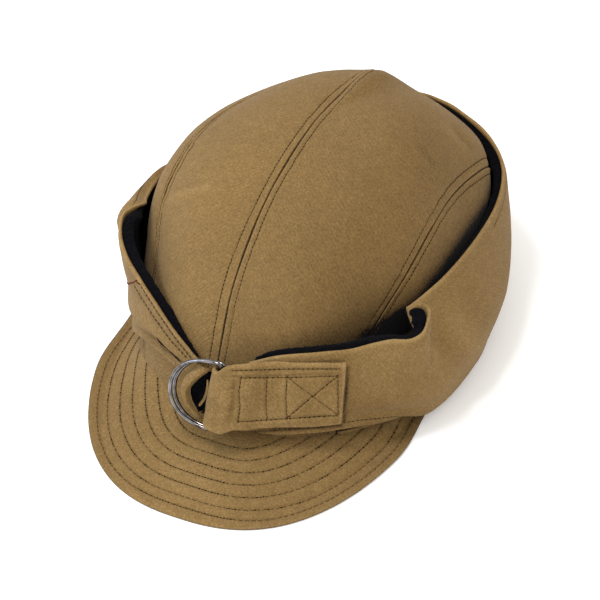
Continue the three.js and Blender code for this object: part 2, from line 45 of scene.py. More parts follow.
# Crown
HALF_WIDTH, HALF_LENGTH, HEIGHT, CENTRE_Y, LEAN_BACK = 83.5, 108.5, 117.5, 10.5, 15.0
ROUNDNESS, SIDE_SQUARENESS, PLAN_ROUNDNESS, TWIST = 2.3, 0.4, 2.25, 5 * RAD
CROWN_WALL, PANEL_OVERLAP = 2.2, 0.22
SEAM_START, SEAM_END, SEAM_PEAK = 45 * RAD, 150 * RAD, 42 * RAD
# seam on the wearer's right: share of the way back, azimuth, angle up, and how far over the top
# the centre seam is there
RIGHT_SEAM = np.array([
    [0, 34, 0, 0], [0.1, 43, 26, 18], [0.22, 52, 35.5, 38], [0.35, 62, 43.5, 62], [0.48, 77, 47.5, 84],
    [0.6, 94, 51, 100], [0.72, 116, 56, 112], [0.84, 138, 58, 124], [0.92, 152, 50, 138], [1, 159, 0, 180],
])
# centre seam: degrees over the top, and drift to the wearer's right as a share of the radius
CENTRE_DRIFT = np.array([
    [0, -0.05], [20, -0.036], [32, -0.016], [45, 0], [60, 0.014], [75, 0.032], [92, 0.05], [115, 0.052],
    [150, 0.02], [180, 0],
])
# soft bumps of the crown: azimuth and angle up of the middle, spread round and up, height
CROWN_BUMPS = np.array([
    [128, 36, 16, 11, 7], [180, 66, 14, 14, 6], [-180, 66, 14, 14, 6], [-72, 37, 30, 14, 7.4],
    [-122, 52, 26, 12, -2.2], [-76, 0, 34, 22, -7],
])
# dents of the crown alone, where the flap stands away from it
CROWN_DENTS = np.array([[53, 24, 18, 17, -10], [-42, 28, 14, 15, -3.6], [96, 30, 30, 14, -3]])
# Bill
BILL_FRONT_Y, BILL_LENGTH, BILL_HALF_WIDTH, BILL_END_Y = -98.0, 52.0, 90.0, -23.0
BILL_HALF_ANGLE, BILL_TURN, BILL_DROP, BILL_ARCH, BILL_RISE = 71 * RAD, 1.5 * RAD, 0.315, 12.0, 5.0
BILL_THICK, BILL_OUTLINE = 3.4, 2.45
# soft rise of the bill's root on the wearer's right: height, azimuth, spread and reach
ROOT_RISE, ROOT_AZIMUTH, ROOT_SPREAD, ROOT_REACH = 10.0, -30.0, 24.0, 17.0
# stitch rows of the bill: distances from its rim, and how far off a stitch may lie
ROW_FROM_RIM, ROW_SLACK = [4.2, 9.6, 16.2, 22.8, 29.5, 36.2, 42.8], 0.35
# Flap
CANVAS_WALL, FLEECE_WALL, POCKET_WALL, CLOTH_GAP = 1.8, 2.0, 1.4, 0.35
FLAP_START, FLAP_END, FLEECE_FROM, FLEECE_RISE = 15.0, 356.0, 5 / 13, 3.4
# stitch rows of the flap: distance from its upper edge and from its foot, and the azimuths where they show
HEM_ROW, HEM_FROM, HEM_TO, FOOT_ROW, FOOT_TO = 4.6, 110, 310, 3.2, 70
# Buckle
RING_HEIGHT, RING_DEPTH, RING_WIRE, WIRE_SHOWN = 38.0, 26.0, 2.4, 2.0
BUCKLE_AZIMUTH, BUCKLE_HEIGHT, BUCKLE_OFF = 6 * RAD, 28.0, 12.5
TAB_WIDTH, TAB_THICK, RING_LEAN = 30.0, 2.2, 20 * RAD
STAND_TILT, REAR_Y, STAND_RISE = 3 * RAD, 117.0, 1.3

# angle, lower edge, upper edge, fold, reach at foot, belly and top, reach and share of the inward roll
FLAP = np.array([
    [8, 7.5, 41, 0, 4.6, 5.4, 5.2, 6, 0], [24, 8, 50, 0, 4.6, 5.8, 5.6, 6, 0],
    [37, 8, 52, 0, 4.8, 6.5, 6.4, 7, 0], [46, 7, 51.5, 0, 5.5, 7.5, 7.2, 8, 0],
    [51, 6, 53, 0.1, 6.5, 9.5, 9.5, 10, 0], [55, 5.2, 55, 0.2, 8, 12, 14, 12, 0],
    [60, 4.2, 55, 0.35, 10, 15, 19.5, 14, 0], [63, 3.6, 59, 0.5, 11.5, 16.5, 22, 14, 0],
    [65, 3.2, 65, 0.65, 12.5, 17.5, 21, 14, 0], [67, 3, 66, 0.8, 13.5, 18, 14, 14, 0],
    [70, 2.6, 62, 0.95, 14.5, 18.5, 7.5, 12, 0], [81, 1.4, 63, 1, 15.5, 19, 6.6, 12, 0],
    [92, 0.4, 63.5, 1, 15, 18.5, 6.6, 12, 0], [102, 0, 63.5, 1, 13, 16.5, 6.6, 12, 0],
    [116, 0, 64, 1, 10.5, 13, 7, 12, 0], [128, 0, 70, 1, 9.6, 12.5, 8.5, 12, 0],
    [140, 0, 76, 1, 9.6, 13.5, 9.5, 12, 0], [155, 0, 80, 1, 9.6, 14.5, 9.5, 12, 0],
    [170, 0, 80, 1, 9.6, 14, 8.5, 12, 0], [185, 0, 77, 1, 9.6, 13, 7, 12, 0],
    [210, 0, 71, 1, 9.6, 12.6, 5.2, 12, 0], [240, 0, 67, 1, 9, 12, 4.9, 9, 0],
    [258, 0.5, 65, 1, 8.2, 10.4, 4.9, 8, 0.2], [270, 1.2, 63.5, 1, 7.8, 9.6, 4.9, 8, 0.5],
    [280, 2, 64, 1, 7.4, 9.6, 4.9, 9.8, 1],
    [288, 3, 64.5, 0.9, 6.8, 9.4, 4.9, 12.6, 1], [295, 4.4, 66.5, 0.6, 6, 8.6, 4.9, 15.4, 1],
    [299.5, 6, 70, 0.4, 5.2, 8, 5.2, 17.2, 0.95], [302.5, 7.6, 72.5, 0.25, 4.8, 7.6, 9.5, 17.4, 0.5],
    [306, 9.4, 72, 0.15, 4.4, 7.4, 16.8, 17, 0.05], [311, 13, 69, 0, 4.2, 7.4, 18.5, 16, 0],
    [318, 18, 65, 0, 4.2, 7.4, 17, 13, 0], [327, 26, 60.5, 0, 4.4, 7.2, 13.5, 11, 0],
    [336, 29.5, 55, 0, 4.6, 6.6, 10.5, 8, 0], [344, 30, 48.5, 0, 4.8, 5.8, 8.5, 6, 0],
    [351, 28, 42, 0, 4.7, 5.2, 6.4, 5, 0], [356, 25, 37.5, 0, 4.6, 4.9, 5.2, 5, 0],
])
# where the upper edge doubles back on itself behind the left pouch: angle, shift in degrees
CURL = np.array([
    [64, 0], [66, -0.3], [67.2, -2.5], [68.2, -5.6], [69.4, -5.2], [71, -3.6], [74, -1.2], [78, 0],
])
# the tab's fold round the rings' bars: along the strap and outward
TAB_SECTION = np.array([
    [12, -6.4], [8, -6.9], [4.2, -7.1], [0.6, -6.9], [-2.2, -5.4], [-3.6, -2.6], [-3.6, 0.6],
    [-2.2, 3.6], [0.8, 5.3], [4.5, 5.6], [8.5, 5],
])
# strap end: share of the way up, and where its two edges lie along the strap, then share across and outward
TURN_EDGES = np.array([
    [-1, -10, -5], [-0.5, -15.2, -10.6], [0, -18.2, -12.8], [0.5, -17, -9.6], [1, -12, -4.6],
])
POCKET_EDGES = np.array([
    [-1, -6.8, -5.4], [-0.5, -11.2, -4.4], [0, -12.6, -3.8], [0.5, -9.4, -3.9], [1, -5.4, -4.2],
])
TURN_SECTION = np.array([[0, -2], [0.1, 0.2], [0.28, 2.2], [0.5, 3.4], [0.74, 3.2], [0.92, 1.8], [1, 0.4]])
POCKET_SECTION = np.array([[0, -2.6], [0.3, -4], [0.7, -4.2], [1, -2.2]])


def smooth(low, high, x):
    t = np.clip((x - low) / (high - low), 0, 1)
    return t * t * (3 - 2 * t)


def lerp(a, b, t):
    return a + (b - a) * t


def stack(*parts):
    return np.stack(parts, -1)


def length(v):
    return np.linalg.norm(v, axis=-1)


def unit(v):
    return v / np.maximum(length(v)[..., None], 1e-9)


def bell(x, width):
    return np.exp(-((x / width) ** 2))


def waves(points, pitch, seed, count=9):
    """Smooth seeded unevenness, about -1 to 1, with features about pitch millimetres across."""
    rng = np.random.default_rng(seed)
    total = np.zeros(points.shape[:-1])
    for _ in range(count):
        way = unit(rng.normal(size=3))
        total += np.sin(points @ way * (2 * math.pi / (pitch * rng.uniform(0.75, 1.5))) + rng.uniform(0, 6.3))
    return total / math.sqrt(count)


def read(table, at):
    """Smooth reading of a table whose first column is where each row applies."""
    at = np.asarray(at, float)
    x = table[:, 0]
    i = np.clip(np.searchsorted(x, at, side="right") - 1, 0, len(x) - 2)
    p1, p2 = table[i], table[i + 1]
    p0, p3 = table[np.maximum(i - 1, 0)], table[np.minimum(i + 2, len(x) - 1)]
    span = (p2 - p1)[..., :1]
    before, after = (p1 - p0)[..., :1], (p3 - p2)[..., :1]
    before = np.where(before == 0, span, before)
    after = np.where(after == 0, span, after)
    t = np.clip((at[..., None] - p1[..., :1]) / span, 0, 1)
    m1 = ((p2 - p1) / span + (p1 - p0) / before) * 0.5 * span
    m2 = ((p3 - p2) / after + (p2 - p1) / span) * 0.5 * span
    return ((2 * t**3 - 3 * t**2 + 1) * p1 + (t**3 - 2 * t**2 + t) * m1
            + (3 * t**2 - 2 * t**3) * p2 + (t**3 - t**2) * m2)


def spline(knots, ts):
    """Centripetal curve through knots (rows, knots, axes) at shares ts of its knots."""
    count = knots.shape[1]
    k = np.concatenate([2 * knots[:, :1] - knots[:, 1:2], knots, 2 * knots[:, -1:] - knots[:, -2:-1]], 1)
    place_on = (count - 1) * np.asarray(ts)
    i = np.minimum(place_on.astype(int), count - 2)
    w = (place_on - i)[None, :, None]
    p0, p1, p2, p3 = k[:, i], k[:, i + 1], k[:, i + 2], k[:, i + 3]

    def gap(a, b):
        return np.maximum(((a - b) ** 2).sum(-1, keepdims=True) ** 0.25, 1e-4)

    d0, d1, d2 = gap(p0, p1), gap(p1, p2), gap(p2, p3)
    t1 = ((p1 - p0) / d0 - (p2 - p0) / (d0 + d1) + (p2 - p1) / d1) * d1
    t2 = ((p2 - p1) / d1 - (p3 - p1) / (d1 + d2) + (p3 - p2) / d2) * d1
    return p1 + t1 * w + (-3 * p1 + 3 * p2 - 2 * t1 - t2) * w**2 + (2 * p1 - 2 * p2 + t1 + t2) * w**3


# The cap's own surfaces
def base_dip(alpha):
    turned = alpha - TWIST
    front = 1 - smooth(62, 84, np.abs(turned) / RAD)
    return front * (BILL_ARCH * np.sin(turned) ** 2 - BILL_RISE)


def crown_point(alpha, beta, out=0.0, dents=False):
    alpha, beta, out = np.broadcast_arrays(
        np.asarray(alpha, float), np.asarray(beta, float), np.asarray(out, float))
    n = ROUNDNESS + SIDE_SQUARENESS * np.sin(alpha) ** 2
    c, s = np.abs(np.cos(beta)), np.abs(np.sin(beta))
    m = (c**n + s**n) ** (-1 / n)
    k, h = c * m, s * m
    q = PLAN_ROUNDNESS
    plan = (np.abs(np.sin(alpha)) ** q + np.abs(np.cos(alpha)) ** q) ** (-1 / q)
    a, b = alpha / RAD, beta / RAD
    for azimuth, up, spread, rise, height in [*CROWN_BUMPS, *CROWN_DENTS] if dents else CROWN_BUMPS:
        out = out + height * bell(a - azimuth, spread) * bell(b - up, rise)
    grow = 1 + out / HALF_LENGTH
    x = HALF_WIDTH * k * plan * np.sin(alpha) * grow
    y = CENTRE_Y - HALF_LENGTH * k * plan * np.cos(alpha) * grow + LEAN_BACK * h
    z = HEIGHT * h * grow - base_dip(alpha) * (1 - smooth(0, 0.35, h))
    w = -TWIST
    return stack(x * math.cos(w) - y * math.sin(w), x * math.sin(w) + y * math.cos(w), z)


def crown_ring(alpha, z):
    alpha, z = np.broadcast_arrays(np.asarray(alpha, float), np.asarray(z, float))
    n = ROUNDNESS + SIDE_SQUARENESS * np.sin(alpha) ** 2
    h = np.clip(z / HEIGHT, 0, 0.98)
    beta = np.arctan2(h, (1 - h**n) ** (1 / n))
    at = crown_point(alpha, beta)
    along = crown_point(alpha + 0.02, beta) - crown_point(alpha - 0.02, beta)
    along[..., 2] = 0
    along = unit(along)
    out = stack(along[..., 1], -along[..., 0], np.zeros_like(h))
    at = stack(at[..., 0], at[..., 1], z)
    return at, out, along


def gap_point(alpha, gap, z):
    at, out, _ = crown_ring(alpha, z)
    return at + out * np.asarray(gap, float)[..., None]


def stand(p):
    c, s = math.cos(STAND_TILT), math.sin(STAND_TILT)
    y = p[..., 1] - REAR_Y
    return stack(p[..., 0], y * c + p[..., 2] * s + REAR_Y, p[..., 2] * c - y * s + STAND_RISE)


def side_seam(u):
    up = SEAM_PEAK * np.sqrt(np.maximum(0, np.sin(math.pi * u)))
    return stack(lerp(SEAM_START, SEAM_END, u), up)


def over_top(over, side):
    """Direction of the centre seam, seen from the panel on one side of it."""
    drift = read(CENTRE_DRIFT, over / RAD)[..., 1] * side
    level = np.cos(over)
    return stack(np.arctan2(drift, level), np.arctan2(np.sin(over), np.hypot(drift, level)))


def right_seam(u):
    row = read(RIGHT_SEAM, u)
    return stack(row[..., 1] * RAD, np.maximum(0, row[..., 2]) * RAD)


def right_centre(u):
    return over_top(np.clip(read(RIGHT_SEAM, u)[..., 3], 0, 180) * RAD, 1)


def right_base(u):
    return stack(read(RIGHT_SEAM, u)[..., 1] * RAD, np.zeros_like(u))


def centre_edge(u):
    return over_top(math.pi * u, -1)


def base_edge(u):
    return stack(lerp(SEAM_START, SEAM_END, u), np.zeros_like(u))


def direction(e):
    a, b = e[..., 0], e[..., 1]
    return stack(np.sin(a) * np.cos(b), -np.cos(a) * np.cos(b), np.sin(b))


# Camera at the photograph's angle
AZ, EL, DISTANCE, LENS, SENSOR = 25 * RAD, 42.5 * RAD, 1425.0, 164.7, 36.0
FRAME, PIXELS_PER_MM = 600, 1.93
BACK = np.array([math.sin(AZ) * math.cos(EL), -math.cos(AZ) * math.cos(EL), math.sin(EL)])
RIGHT = np.array([math.cos(AZ), math.sin(AZ), 0.0])
UP = np.cross(BACK, RIGHT)
AIM = np.array([0.0, 0.0, 58.3]) - UP * 28.04
EYE = AIM + BACK * DISTANCE


def pixel_of(p):
    """Where points of the cap fall in the photograph's 600 x 600 frame."""
    d = p - EYE
    depth = -(d @ BACK)
    scale = LENS / SENSOR * FRAME / depth
    return stack(FRAME / 2 + (d @ RIGHT) * scale, FRAME / 2 - (d @ UP) * scale)


def along_line(px, line):
    """Millimetres from a line of pixels, signed to its right, and the share of the way along it."""
    line = np.array(line, float)
    best, side, share = np.full(px.shape[:-1], 1e9), np.zeros(px.shape[:-1]), np.zeros(px.shape[:-1])
    lengths = length(np.diff(line, axis=0))
    total, run = lengths.sum(), 0.0
    for a, b, size in zip(line[:-1], line[1:], lengths):
        way = (b - a) / size
        t = np.clip((px - a) @ way, 0, size)
        off = px - a - t[..., None] * way
        far = length(off)
        near = far < best
        best = np.where(near, far, best)
        side = np.where(near, np.sign(off[..., 0] * -way[1] + off[..., 1] * way[0]), side)
        share = np.where(near, (run + t) / total, share)
        run += size
    return best * side / PIXELS_PER_MM, share


def strokes(px, lines, end=0.02, power=0.5):
    """For each line of pixels, width and depth: how strongly it shows at each point, fading at its ends."""
    for line, wide, deep in lines:
        away, share = along_line(px, line)
        yield bell(away, wide) * np.sin(math.pi * np.clip(share, end, 1 - end)) ** power, wide, deep


# Meshes
def place(p):
    return (p - MID) / 1000


def normals(grid):
    def slope(g):
        return np.concatenate([g[1:2] - g[:1], g[2:] - g[:-2], g[-1:] - g[-2:-1]])

    return unit(np.cross(slope(grid), slope(grid.swapaxes(0, 1)).swapaxes(0, 1)))


def arc(grid, axis):
    """Length along one axis of a grid, from its first line."""
    step = length(np.diff(grid, axis=axis))
    shape = list(grid.shape[:2])
    shape[axis] = 1
    return np.concatenate([np.zeros(shape), np.cumsum(step, axis=axis)], axis)


def link(name, data):
    obj = bpy.data.objects.new(name, data)
    bpy.context.scene.collection.objects.link(obj)
    return obj


def keep(objects, node_names):
    for o in objects:
        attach(o, "root")
        if node_names:
            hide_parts(*node_names)


def build(name, verts, faces, material, uvs=None, shade=None):
    mesh = bpy.data.meshes.new(name)
    faces = np.asarray(faces)
    mesh.vertices.add(len(verts))
    mesh.vertices.foreach_set("co", np.ascontiguousarray(place(verts), np.float32).ravel())
    mesh.loops.add(faces.size)
    mesh.loops.foreach_set("vertex_index", faces.ravel().astype(np.int32))
    mesh.polygons.add(len(faces))
    mesh.polygons.foreach_set("loop_start", np.arange(0, faces.size, faces.shape[1], dtype=np.int32))
    mesh.update(calc_edges=True)
    mesh.validate()
    if uvs is not None:
        layer = mesh.uv_layers.new(name="UVMap")
        layer.data.foreach_set("uv", np.ascontiguousarray(uvs[faces.ravel()], np.float32).ravel())
    if shade is not None:
        attribute = mesh.attributes.new("shade", "FLOAT", "POINT")
        attribute.data.foreach_set("value", np.ascontiguousarray(shade, np.float32))
    mesh.polygons.foreach_set("use_smooth", np.full(len(mesh.polygons), True))
    mesh.materials.append(material)
    return link(name, mesh)


def pad(mid, scale, half, axis, steps):
    """Rounded edges: lines added beyond a sheet's first and last, thinning to nothing."""
    mid, scale = np.moveaxis(mid, axis, 0), np.moveaxis(scale, axis, 0)
    turn = [math.pi / 2 * k / steps for k in range(1, steps + 1)]
    before, after = unit(mid[0] - mid[1]) * half, unit(mid[-1] - mid[-2]) * half
    mid = np.concatenate([
        [mid[0] + before * math.sin(a) for a in reversed(turn)], mid,
        [mid[-1] + after * math.sin(a) for a in turn]])
    scale = np.concatenate([
        [scale[0] * math.cos(a) for a in reversed(turn)], scale, [scale[-1] * math.cos(a) for a in turn]])
    return np.moveaxis(mid, 0, axis), np.moveaxis(scale, 0, axis)


def quads(ids, back=False):
    """Faces between the points of a grid, turned over where back is set."""
    q = stack(ids[:-1, :-1], ids[1:, :-1], ids[1:, 1:], ids[:-1, 1:]).reshape(-1, 4)
    return q[:, ::-1] if back else q


def outward(face, toward=None):
    """1 where the grid's normals face out of the cap, or along toward at its last line, and -1 where not."""
    n = normals(face)
    if toward is None:
        return 1 if (n * (face - np.array([0.0, 15.0, 10.0]))).sum() > 0 else -1
    return 1 if (n[-1] @ np.asarray(toward)).sum() > 0 else -1


def sheet(name, face, wall, material, skin=0.0, lift=None, sink=None, shade=None, steps=3,
          floor=None, inside_shade=0.0, toward=None):
    """Closed sheet of cloth with rounded edges behind a face of points, in place of the node of its name.

    lift moves the face out and sink moves the back in. The finished face is returned.
    """
    sign = outward(face, toward)
    n = normals(face) * sign
    lift, sink, shade = (np.zeros(face.shape[:2]) if x is None else x for x in (lift, sink, shade))
    top = face + n * (lift - skin)[..., None]
    low = face - n * (skin + wall + sink)[..., None]
    mid, half = (top + low) / 2, length(top - low) / 2
    way = unit(top - low)
    u, v = arc(face, 0), arc(face, 1)
    extra = np.concatenate([way, half[..., None], u[..., None], v[..., None], shade[..., None]], -1)
    scale = np.ones(face.shape[:2])
    for axis in (0, 1):
        mid, scale = pad(mid, scale, wall / 2, axis, steps)
        width = [(steps, steps) if a == axis else (0, 0) for a in (0, 1)] + [(0, 0)]
        extra = np.pad(extra, width, mode="edge")
    way, half, shade = extra[..., :3], extra[..., 3] * scale, extra[..., 6]
    top = mid + way * half[..., None]
    low = mid - way * half[..., None]
    if floor is not None:
        top[..., 2] = np.maximum(top[..., 2], floor[0])
        low[..., 2] = np.maximum(low[..., 2], floor[1])
    rows, cols = scale.shape
    ids = np.arange(rows * cols).reshape(rows, cols)
    under = ids + rows * cols
    for cut in (np.s_[0, :], np.s_[-1, :], np.s_[:, 0], np.s_[:, -1]):
        under[cut] = ids[cut]
    verts = np.concatenate([top.reshape(-1, 3), low.reshape(-1, 3)])
    flat = stack(extra[..., 4], extra[..., 5]).reshape(-1, 2)
    uvs = np.concatenate([flat, flat + [0.3, 0.2]]) / 1000
    shades = np.concatenate([shade.ravel(), np.full(rows * cols, inside_shade)])
    faces = np.concatenate([quads(ids, sign < 0), quads(under, sign > 0)])
    used = np.unique(faces)
    back_to = np.zeros(len(verts), int)
    back_to[used] = np.arange(len(used))
    keep([build(name, verts[used], back_to[faces], material, uvs[used], shades[used])], [name])
    return top[steps:-steps, steps:-steps]


class Surface:
    """A finished cloth face, to lay thread on."""

    def __init__(self, *grids):
        verts, faces, start = [], [], 0
        for g in grids:
            rows, cols = g.shape[:2]
            verts.append(g.reshape(-1, 3))
            faces.append(quads(np.arange(rows * cols).reshape(rows, cols) + start))
            start += rows * cols
        self.tree = BVHTree.FromPolygons(np.concatenate(verts).tolist(), np.concatenate(faces).tolist())

    def near(self, p):
        hit = self.tree.find_nearest(Vector(p))
        return np.array(hit[0]), np.array(hit[1])

    def seen_at(self, x, y):
        """The point of the cloth that the photograph shows at a pixel, or None."""
        per_pixel = SENSOR / LENS / FRAME
        way = -BACK + RIGHT * ((x - FRAME / 2) * per_pixel) + UP * ((FRAME / 2 - y) * per_pixel)
        hit = self.tree.ray_cast(Vector(EYE), Vector(unit(way)))
        return None if hit[0] is None else np.array(hit[0])


def resample(line, step):
    line = np.asarray(line, float)
    run = np.concatenate([[0], np.cumsum(length(np.diff(line, axis=0)))])
    count = max(2, int(round(run[-1] / step)) + 1)
    at = np.linspace(0, run[-1], count)
    return stack(*(np.interp(at, run, column) for column in line.T))


def at_distance(grid, distance, away, rows=None):
    """Line on a grid where distance, given at each point, is away: one number, or one for each row."""
    away = np.broadcast_to(away, len(grid))
    line = []
    for i in range(len(grid)) if rows is None else rows:
        order = np.argsort(distance[i])
        at = np.interp(away[i], distance[i][order], order.astype(float))
        j = min(int(at), grid.shape[1] - 2)
        line.append(lerp(grid[i, j], grid[i, j + 1], at - j))
    return np.array(line)


def on_cloth(surface, pixels):
    """Line of points of a cloth that the photograph shows along a line of pixels."""
    line = resample([(x, y, 0) for x, y in pixels], 3.0)
    found = [surface.seen_at(x, y) for x, y, _ in line]
    return np.array([p for p in found if p is not None])


def stitching(name, surface, lines, material, pitch=2.4, thread=0.5, share=0.58, holes=0.46, proud=0.02,
              seed=3):
    """Thread along lines on a cloth: a short bent bar for each stitch, and dark discs of painted hole shade
    between.
    """
    rng = np.random.default_rng(seed)
    verts, faces, spots, spot_faces = [], [], [], []
    sides, stations = 6, np.array([-1.0, -0.62, 0.0, 0.62, 1.0])
    ring = np.arange(sides) / sides * 2 * math.pi
    for line in (line for line in lines if len(line) > 1):
        points = resample(line, pitch)
        for a, b in zip(points[:-1], points[1:]):
            centre, n = surface.near((a + b) / 2)
            along = b - a
            if np.dot(n, centre - np.array([0, 20.0, 25.0])) < 0:
                n = -n
            along = unit(along - n * np.dot(along, n))
            across = np.cross(n, along)
            along = unit(along + across * rng.normal(0, 0.05))
            across = np.cross(n, along)
            half = pitch * share / 2 * rng.uniform(0.9, 1.06)
            wide = thread / 2 * rng.uniform(0.88, 1.1)
            base = len(verts)
            for s in stations:
                size = wide * (1 - 0.45 * s**4)
                dive = proud - (proud + wide * 0.9) * abs(s) ** 3
                core = centre + along * s * half + n * dive
                for r in ring:
                    verts.append(core + across * math.cos(r) * size + n * math.sin(r) * size * 0.8)
            for k in range(len(stations) - 1):
                for j in range(sides):
                    p, q = base + k * sides + j, base + k * sides + (j + 1) % sides
                    faces.append((p, q, q + sides, p + sides))
            for k in (0, len(stations) - 1):
                o = base + k * sides
                faces.append((o, o + 1, o + 2, o + 3))
                faces.append((o, o + 3, o + 4, o + 5))
            # a near-black disc at each needle hole: painted shade in the hole
            if holes:
                start, m = surface.near(a)
                if np.dot(m, n) < 0:
                    m = -m
                o = len(spots)
                spots.append(start + m * 0.05)
                for r in ring:
                    way = along * math.cos(r) * 1.25 + across * math.sin(r)
                    spots.append(start + m * 0.05 + way * holes)
                spot_faces += [(o, o + 1 + j, o + 1 + (j + 1) % sides) for j in range(sides)]
    made = [build(name, np.array(verts), faces, material)]
    if spots:
        made.append(build(name + "_hole_shade", np.array(spots), spot_faces, HOLE_SHADE))
    keep(made, [])


def wire(name, loop, radius, material, sides=16):
    """Round wire along a closed loop of points."""
    loop = np.asarray(loop)
    closed = np.concatenate([loop[-3:], loop, loop[:3]])[None]
    fine = spline(closed, np.linspace(2 / (len(loop) + 5), 1 - 3 / (len(loop) + 5), 161))[0][:-1]
    tangent = unit(np.roll(fine, -1, 0) - np.roll(fine, 1, 0))
    axis = unit(np.cross(fine - fine.mean(0), np.roll(fine, -1, 0) - fine.mean(0)).sum(0))
    side = unit(np.cross(tangent, axis))
    angle = np.arange(sides) / sides * 2 * math.pi
    verts = (fine[:, None] + side[:, None] * (np.cos(angle) * radius)[None, :, None]
             + axis[None, None] * (np.sin(angle) * radius)[None, :, None])
    count = len(fine)
    i, j = np.meshgrid(np.arange(count), np.arange(sides), indexing="ij")
    i2, j2 = (i + 1) % count, (j + 1) % sides
    faces = stack(i * sides + j, i2 * sides + j, i2 * sides + j2, i * sides + j2).reshape(-1, 4)
    return build(name, verts.reshape(-1, 3), faces, material)


# Materials
class Paint:
    """A material, its shader, and short ways to add nodes to it."""

    def __init__(self, name, **values):
        self.material = bpy.data.materials.new(name)
        self.material.use_nodes = True
        self.nodes, self.links = self.material.node_tree.nodes, self.material.node_tree.links
        self.shader = self.nodes["Principled BSDF"]
        self.put(self.shader, values)
        self.place_at = self.nodes.new("ShaderNodeTexCoord").outputs["Object"]

    def put(self, made, values):
        for key, value in values.items():
            if hasattr(made, key):
                setattr(made, key, value)
            else:
                made.inputs[key.replace("_", " ")].default_value = value
        return made

    def node(self, kind, **values):
        return self.put(self.nodes.new("ShaderNode" + kind), values)

    def texture(self, kind, at, **values):
        made = self.node("Tex" + kind, **values)
        self.links.new(at, made.inputs["Vector"])
        return made.outputs["Distance" if kind == "Voronoi" else "Fac"]

    def maths(self, operation, *values):
        made = self.node("Math", operation=operation)
        for slot, value in enumerate(values):
            if isinstance(value, (int, float)):
                made.inputs[slot].default_value = value
            else:
                self.links.new(value, made.inputs[slot])
        return made.outputs[0]

    def mix(self, *parts):
        """Sum of values, each times its weight."""
        terms = [self.maths("MULTIPLY", value, weight) for value, weight in parts]
        total = terms[0]
        for term in terms[1:]:
            total = self.maths("ADD", total, term)
        return total

    def colour(self, value, *stops):
        """Colour of the surface: stops of place and colour, the first two the ramp's own."""
        ramp = self.node("ValToRGB")
        elements = ramp.color_ramp.elements
        for own, (position, rgb) in zip(list(elements), stops):
            own.position, own.color = position, (*rgb, 1)
        for position, rgb in stops[2:]:
            elements.new(position).color = (*rgb, 1)
        self.links.new(value, ramp.inputs["Fac"])
        self.links.new(ramp.outputs["Color"], self.shader.inputs["Base Color"])

    def bump(self, height, strength, distance):
        made = self.node("Bump", Strength=strength, Distance=distance)
        self.links.new(height, made.inputs["Height"])
        self.links.new(made.outputs["Normal"], self.shader.inputs["Normal"])
        return self.material


def canvas_material():
    """Tight cotton twill with a dry brushed face: weave, nap, faded and worn places, and painted shade and
    highlights.
    """
    paint = Paint(
        "tan_canvas", Roughness=0.92, Specular_IOR_Level=0.18, Sheen_Weight=0.05, Sheen_Roughness=0.5)
    uv = paint.node("UVMap", uv_map="UVMap").outputs["UV"]
    warp, weft, twill = (
        paint.texture("Wave", uv, bands_direction=way, Scale=scale, Distortion=bend, Detail=1.0)
        for way, scale, bend in (("X", 430.0, 1.2), ("Y", 430.0, 1.2), ("DIAGONAL", 260.0, 2.5)))
    nap, cloud, mottle = (
        paint.texture("Noise", paint.place_at, Scale=scale, Detail=detail, Roughness=rough)
        for scale, detail, rough in ((950.0, 3.0, 0.65), (26.0, 4.0, 0.55), (210.0, 3.0, 0.6)))
    shade = paint.node("Attribute", attribute_name="shade").outputs["Fac"]
    threads = paint.maths("ADD", paint.maths("MULTIPLY", warp, weft), paint.maths("MULTIPLY", twill, 0.8))
    tone = paint.mix((nap, 0.8), (mottle, 0.17), (cloud, 0.09), (threads, 0.05), (shade, 0.6))
    # the near-black stop at 0 is where the deepest painted shade ends
    paint.colour(
        paint.maths("ADD", tone, 0.075), (0.22, (0.078, 0.043, 0.014)), (0.98, (0.335, 0.215, 0.084)),
        (0.0, (0.003, 0.002, 0.002)), (0.62, (0.196, 0.116, 0.037)))
    return paint.bump(paint.mix((threads, 0.9), (nap, 0.9), (mottle, 1.3)), 0.6, 0.00022)


def fleece_material():
    """Near-black navy pile with a matted, curly face."""
    paint = Paint(
        "navy_fleece", Roughness=1.0, Specular_IOR_Level=0.02, Sheen_Weight=0.015, Sheen_Roughness=0.7)
    pile = paint.texture("Noise", paint.place_at, Scale=520.0, Detail=4.0, Roughness=0.7)
    curl = paint.texture("Voronoi", paint.place_at, Scale=640.0)
    paint.colour(pile, (0.3, (0.0006, 0.0006, 0.0012)), (0.8, (0.0045, 0.0042, 0.006)))
    return paint.bump(paint.maths("ADD", pile, curl), 0.9, 0.0008)


def nickel_material():
    """Plated wire with fine scratches and dull, slightly warm patches."""
    paint = Paint("nickel_wire", Roughness=0.22, Metallic=1.0)
    scuff = paint.texture("Noise", paint.place_at, Scale=150.0, Detail=4.0, Roughness=0.6)
    paint.colour(scuff, (0.35, (0.06, 0.052, 0.05)), (0.6, (0.26, 0.25, 0.245)))
    rough = paint.node("MapRange", To_Min=0.06, To_Max=0.24)
    paint.links.new(scuff, rough.inputs["Value"])
    paint.links.new(rough.outputs["Result"], paint.shader.inputs["Roughness"])
    return paint.bump(scuff, 0.15, 0.0001)


def thread_material(name, low, high):
    paint = Paint(name, Roughness=0.85, Specular_IOR_Level=0.04)
    ply = paint.texture("Noise", paint.place_at, Scale=1600.0, Detail=2.0)
    paint.colour(ply, (0.35, low), (0.65, high))
    return paint.bump(ply, 0.5, 0.0001)


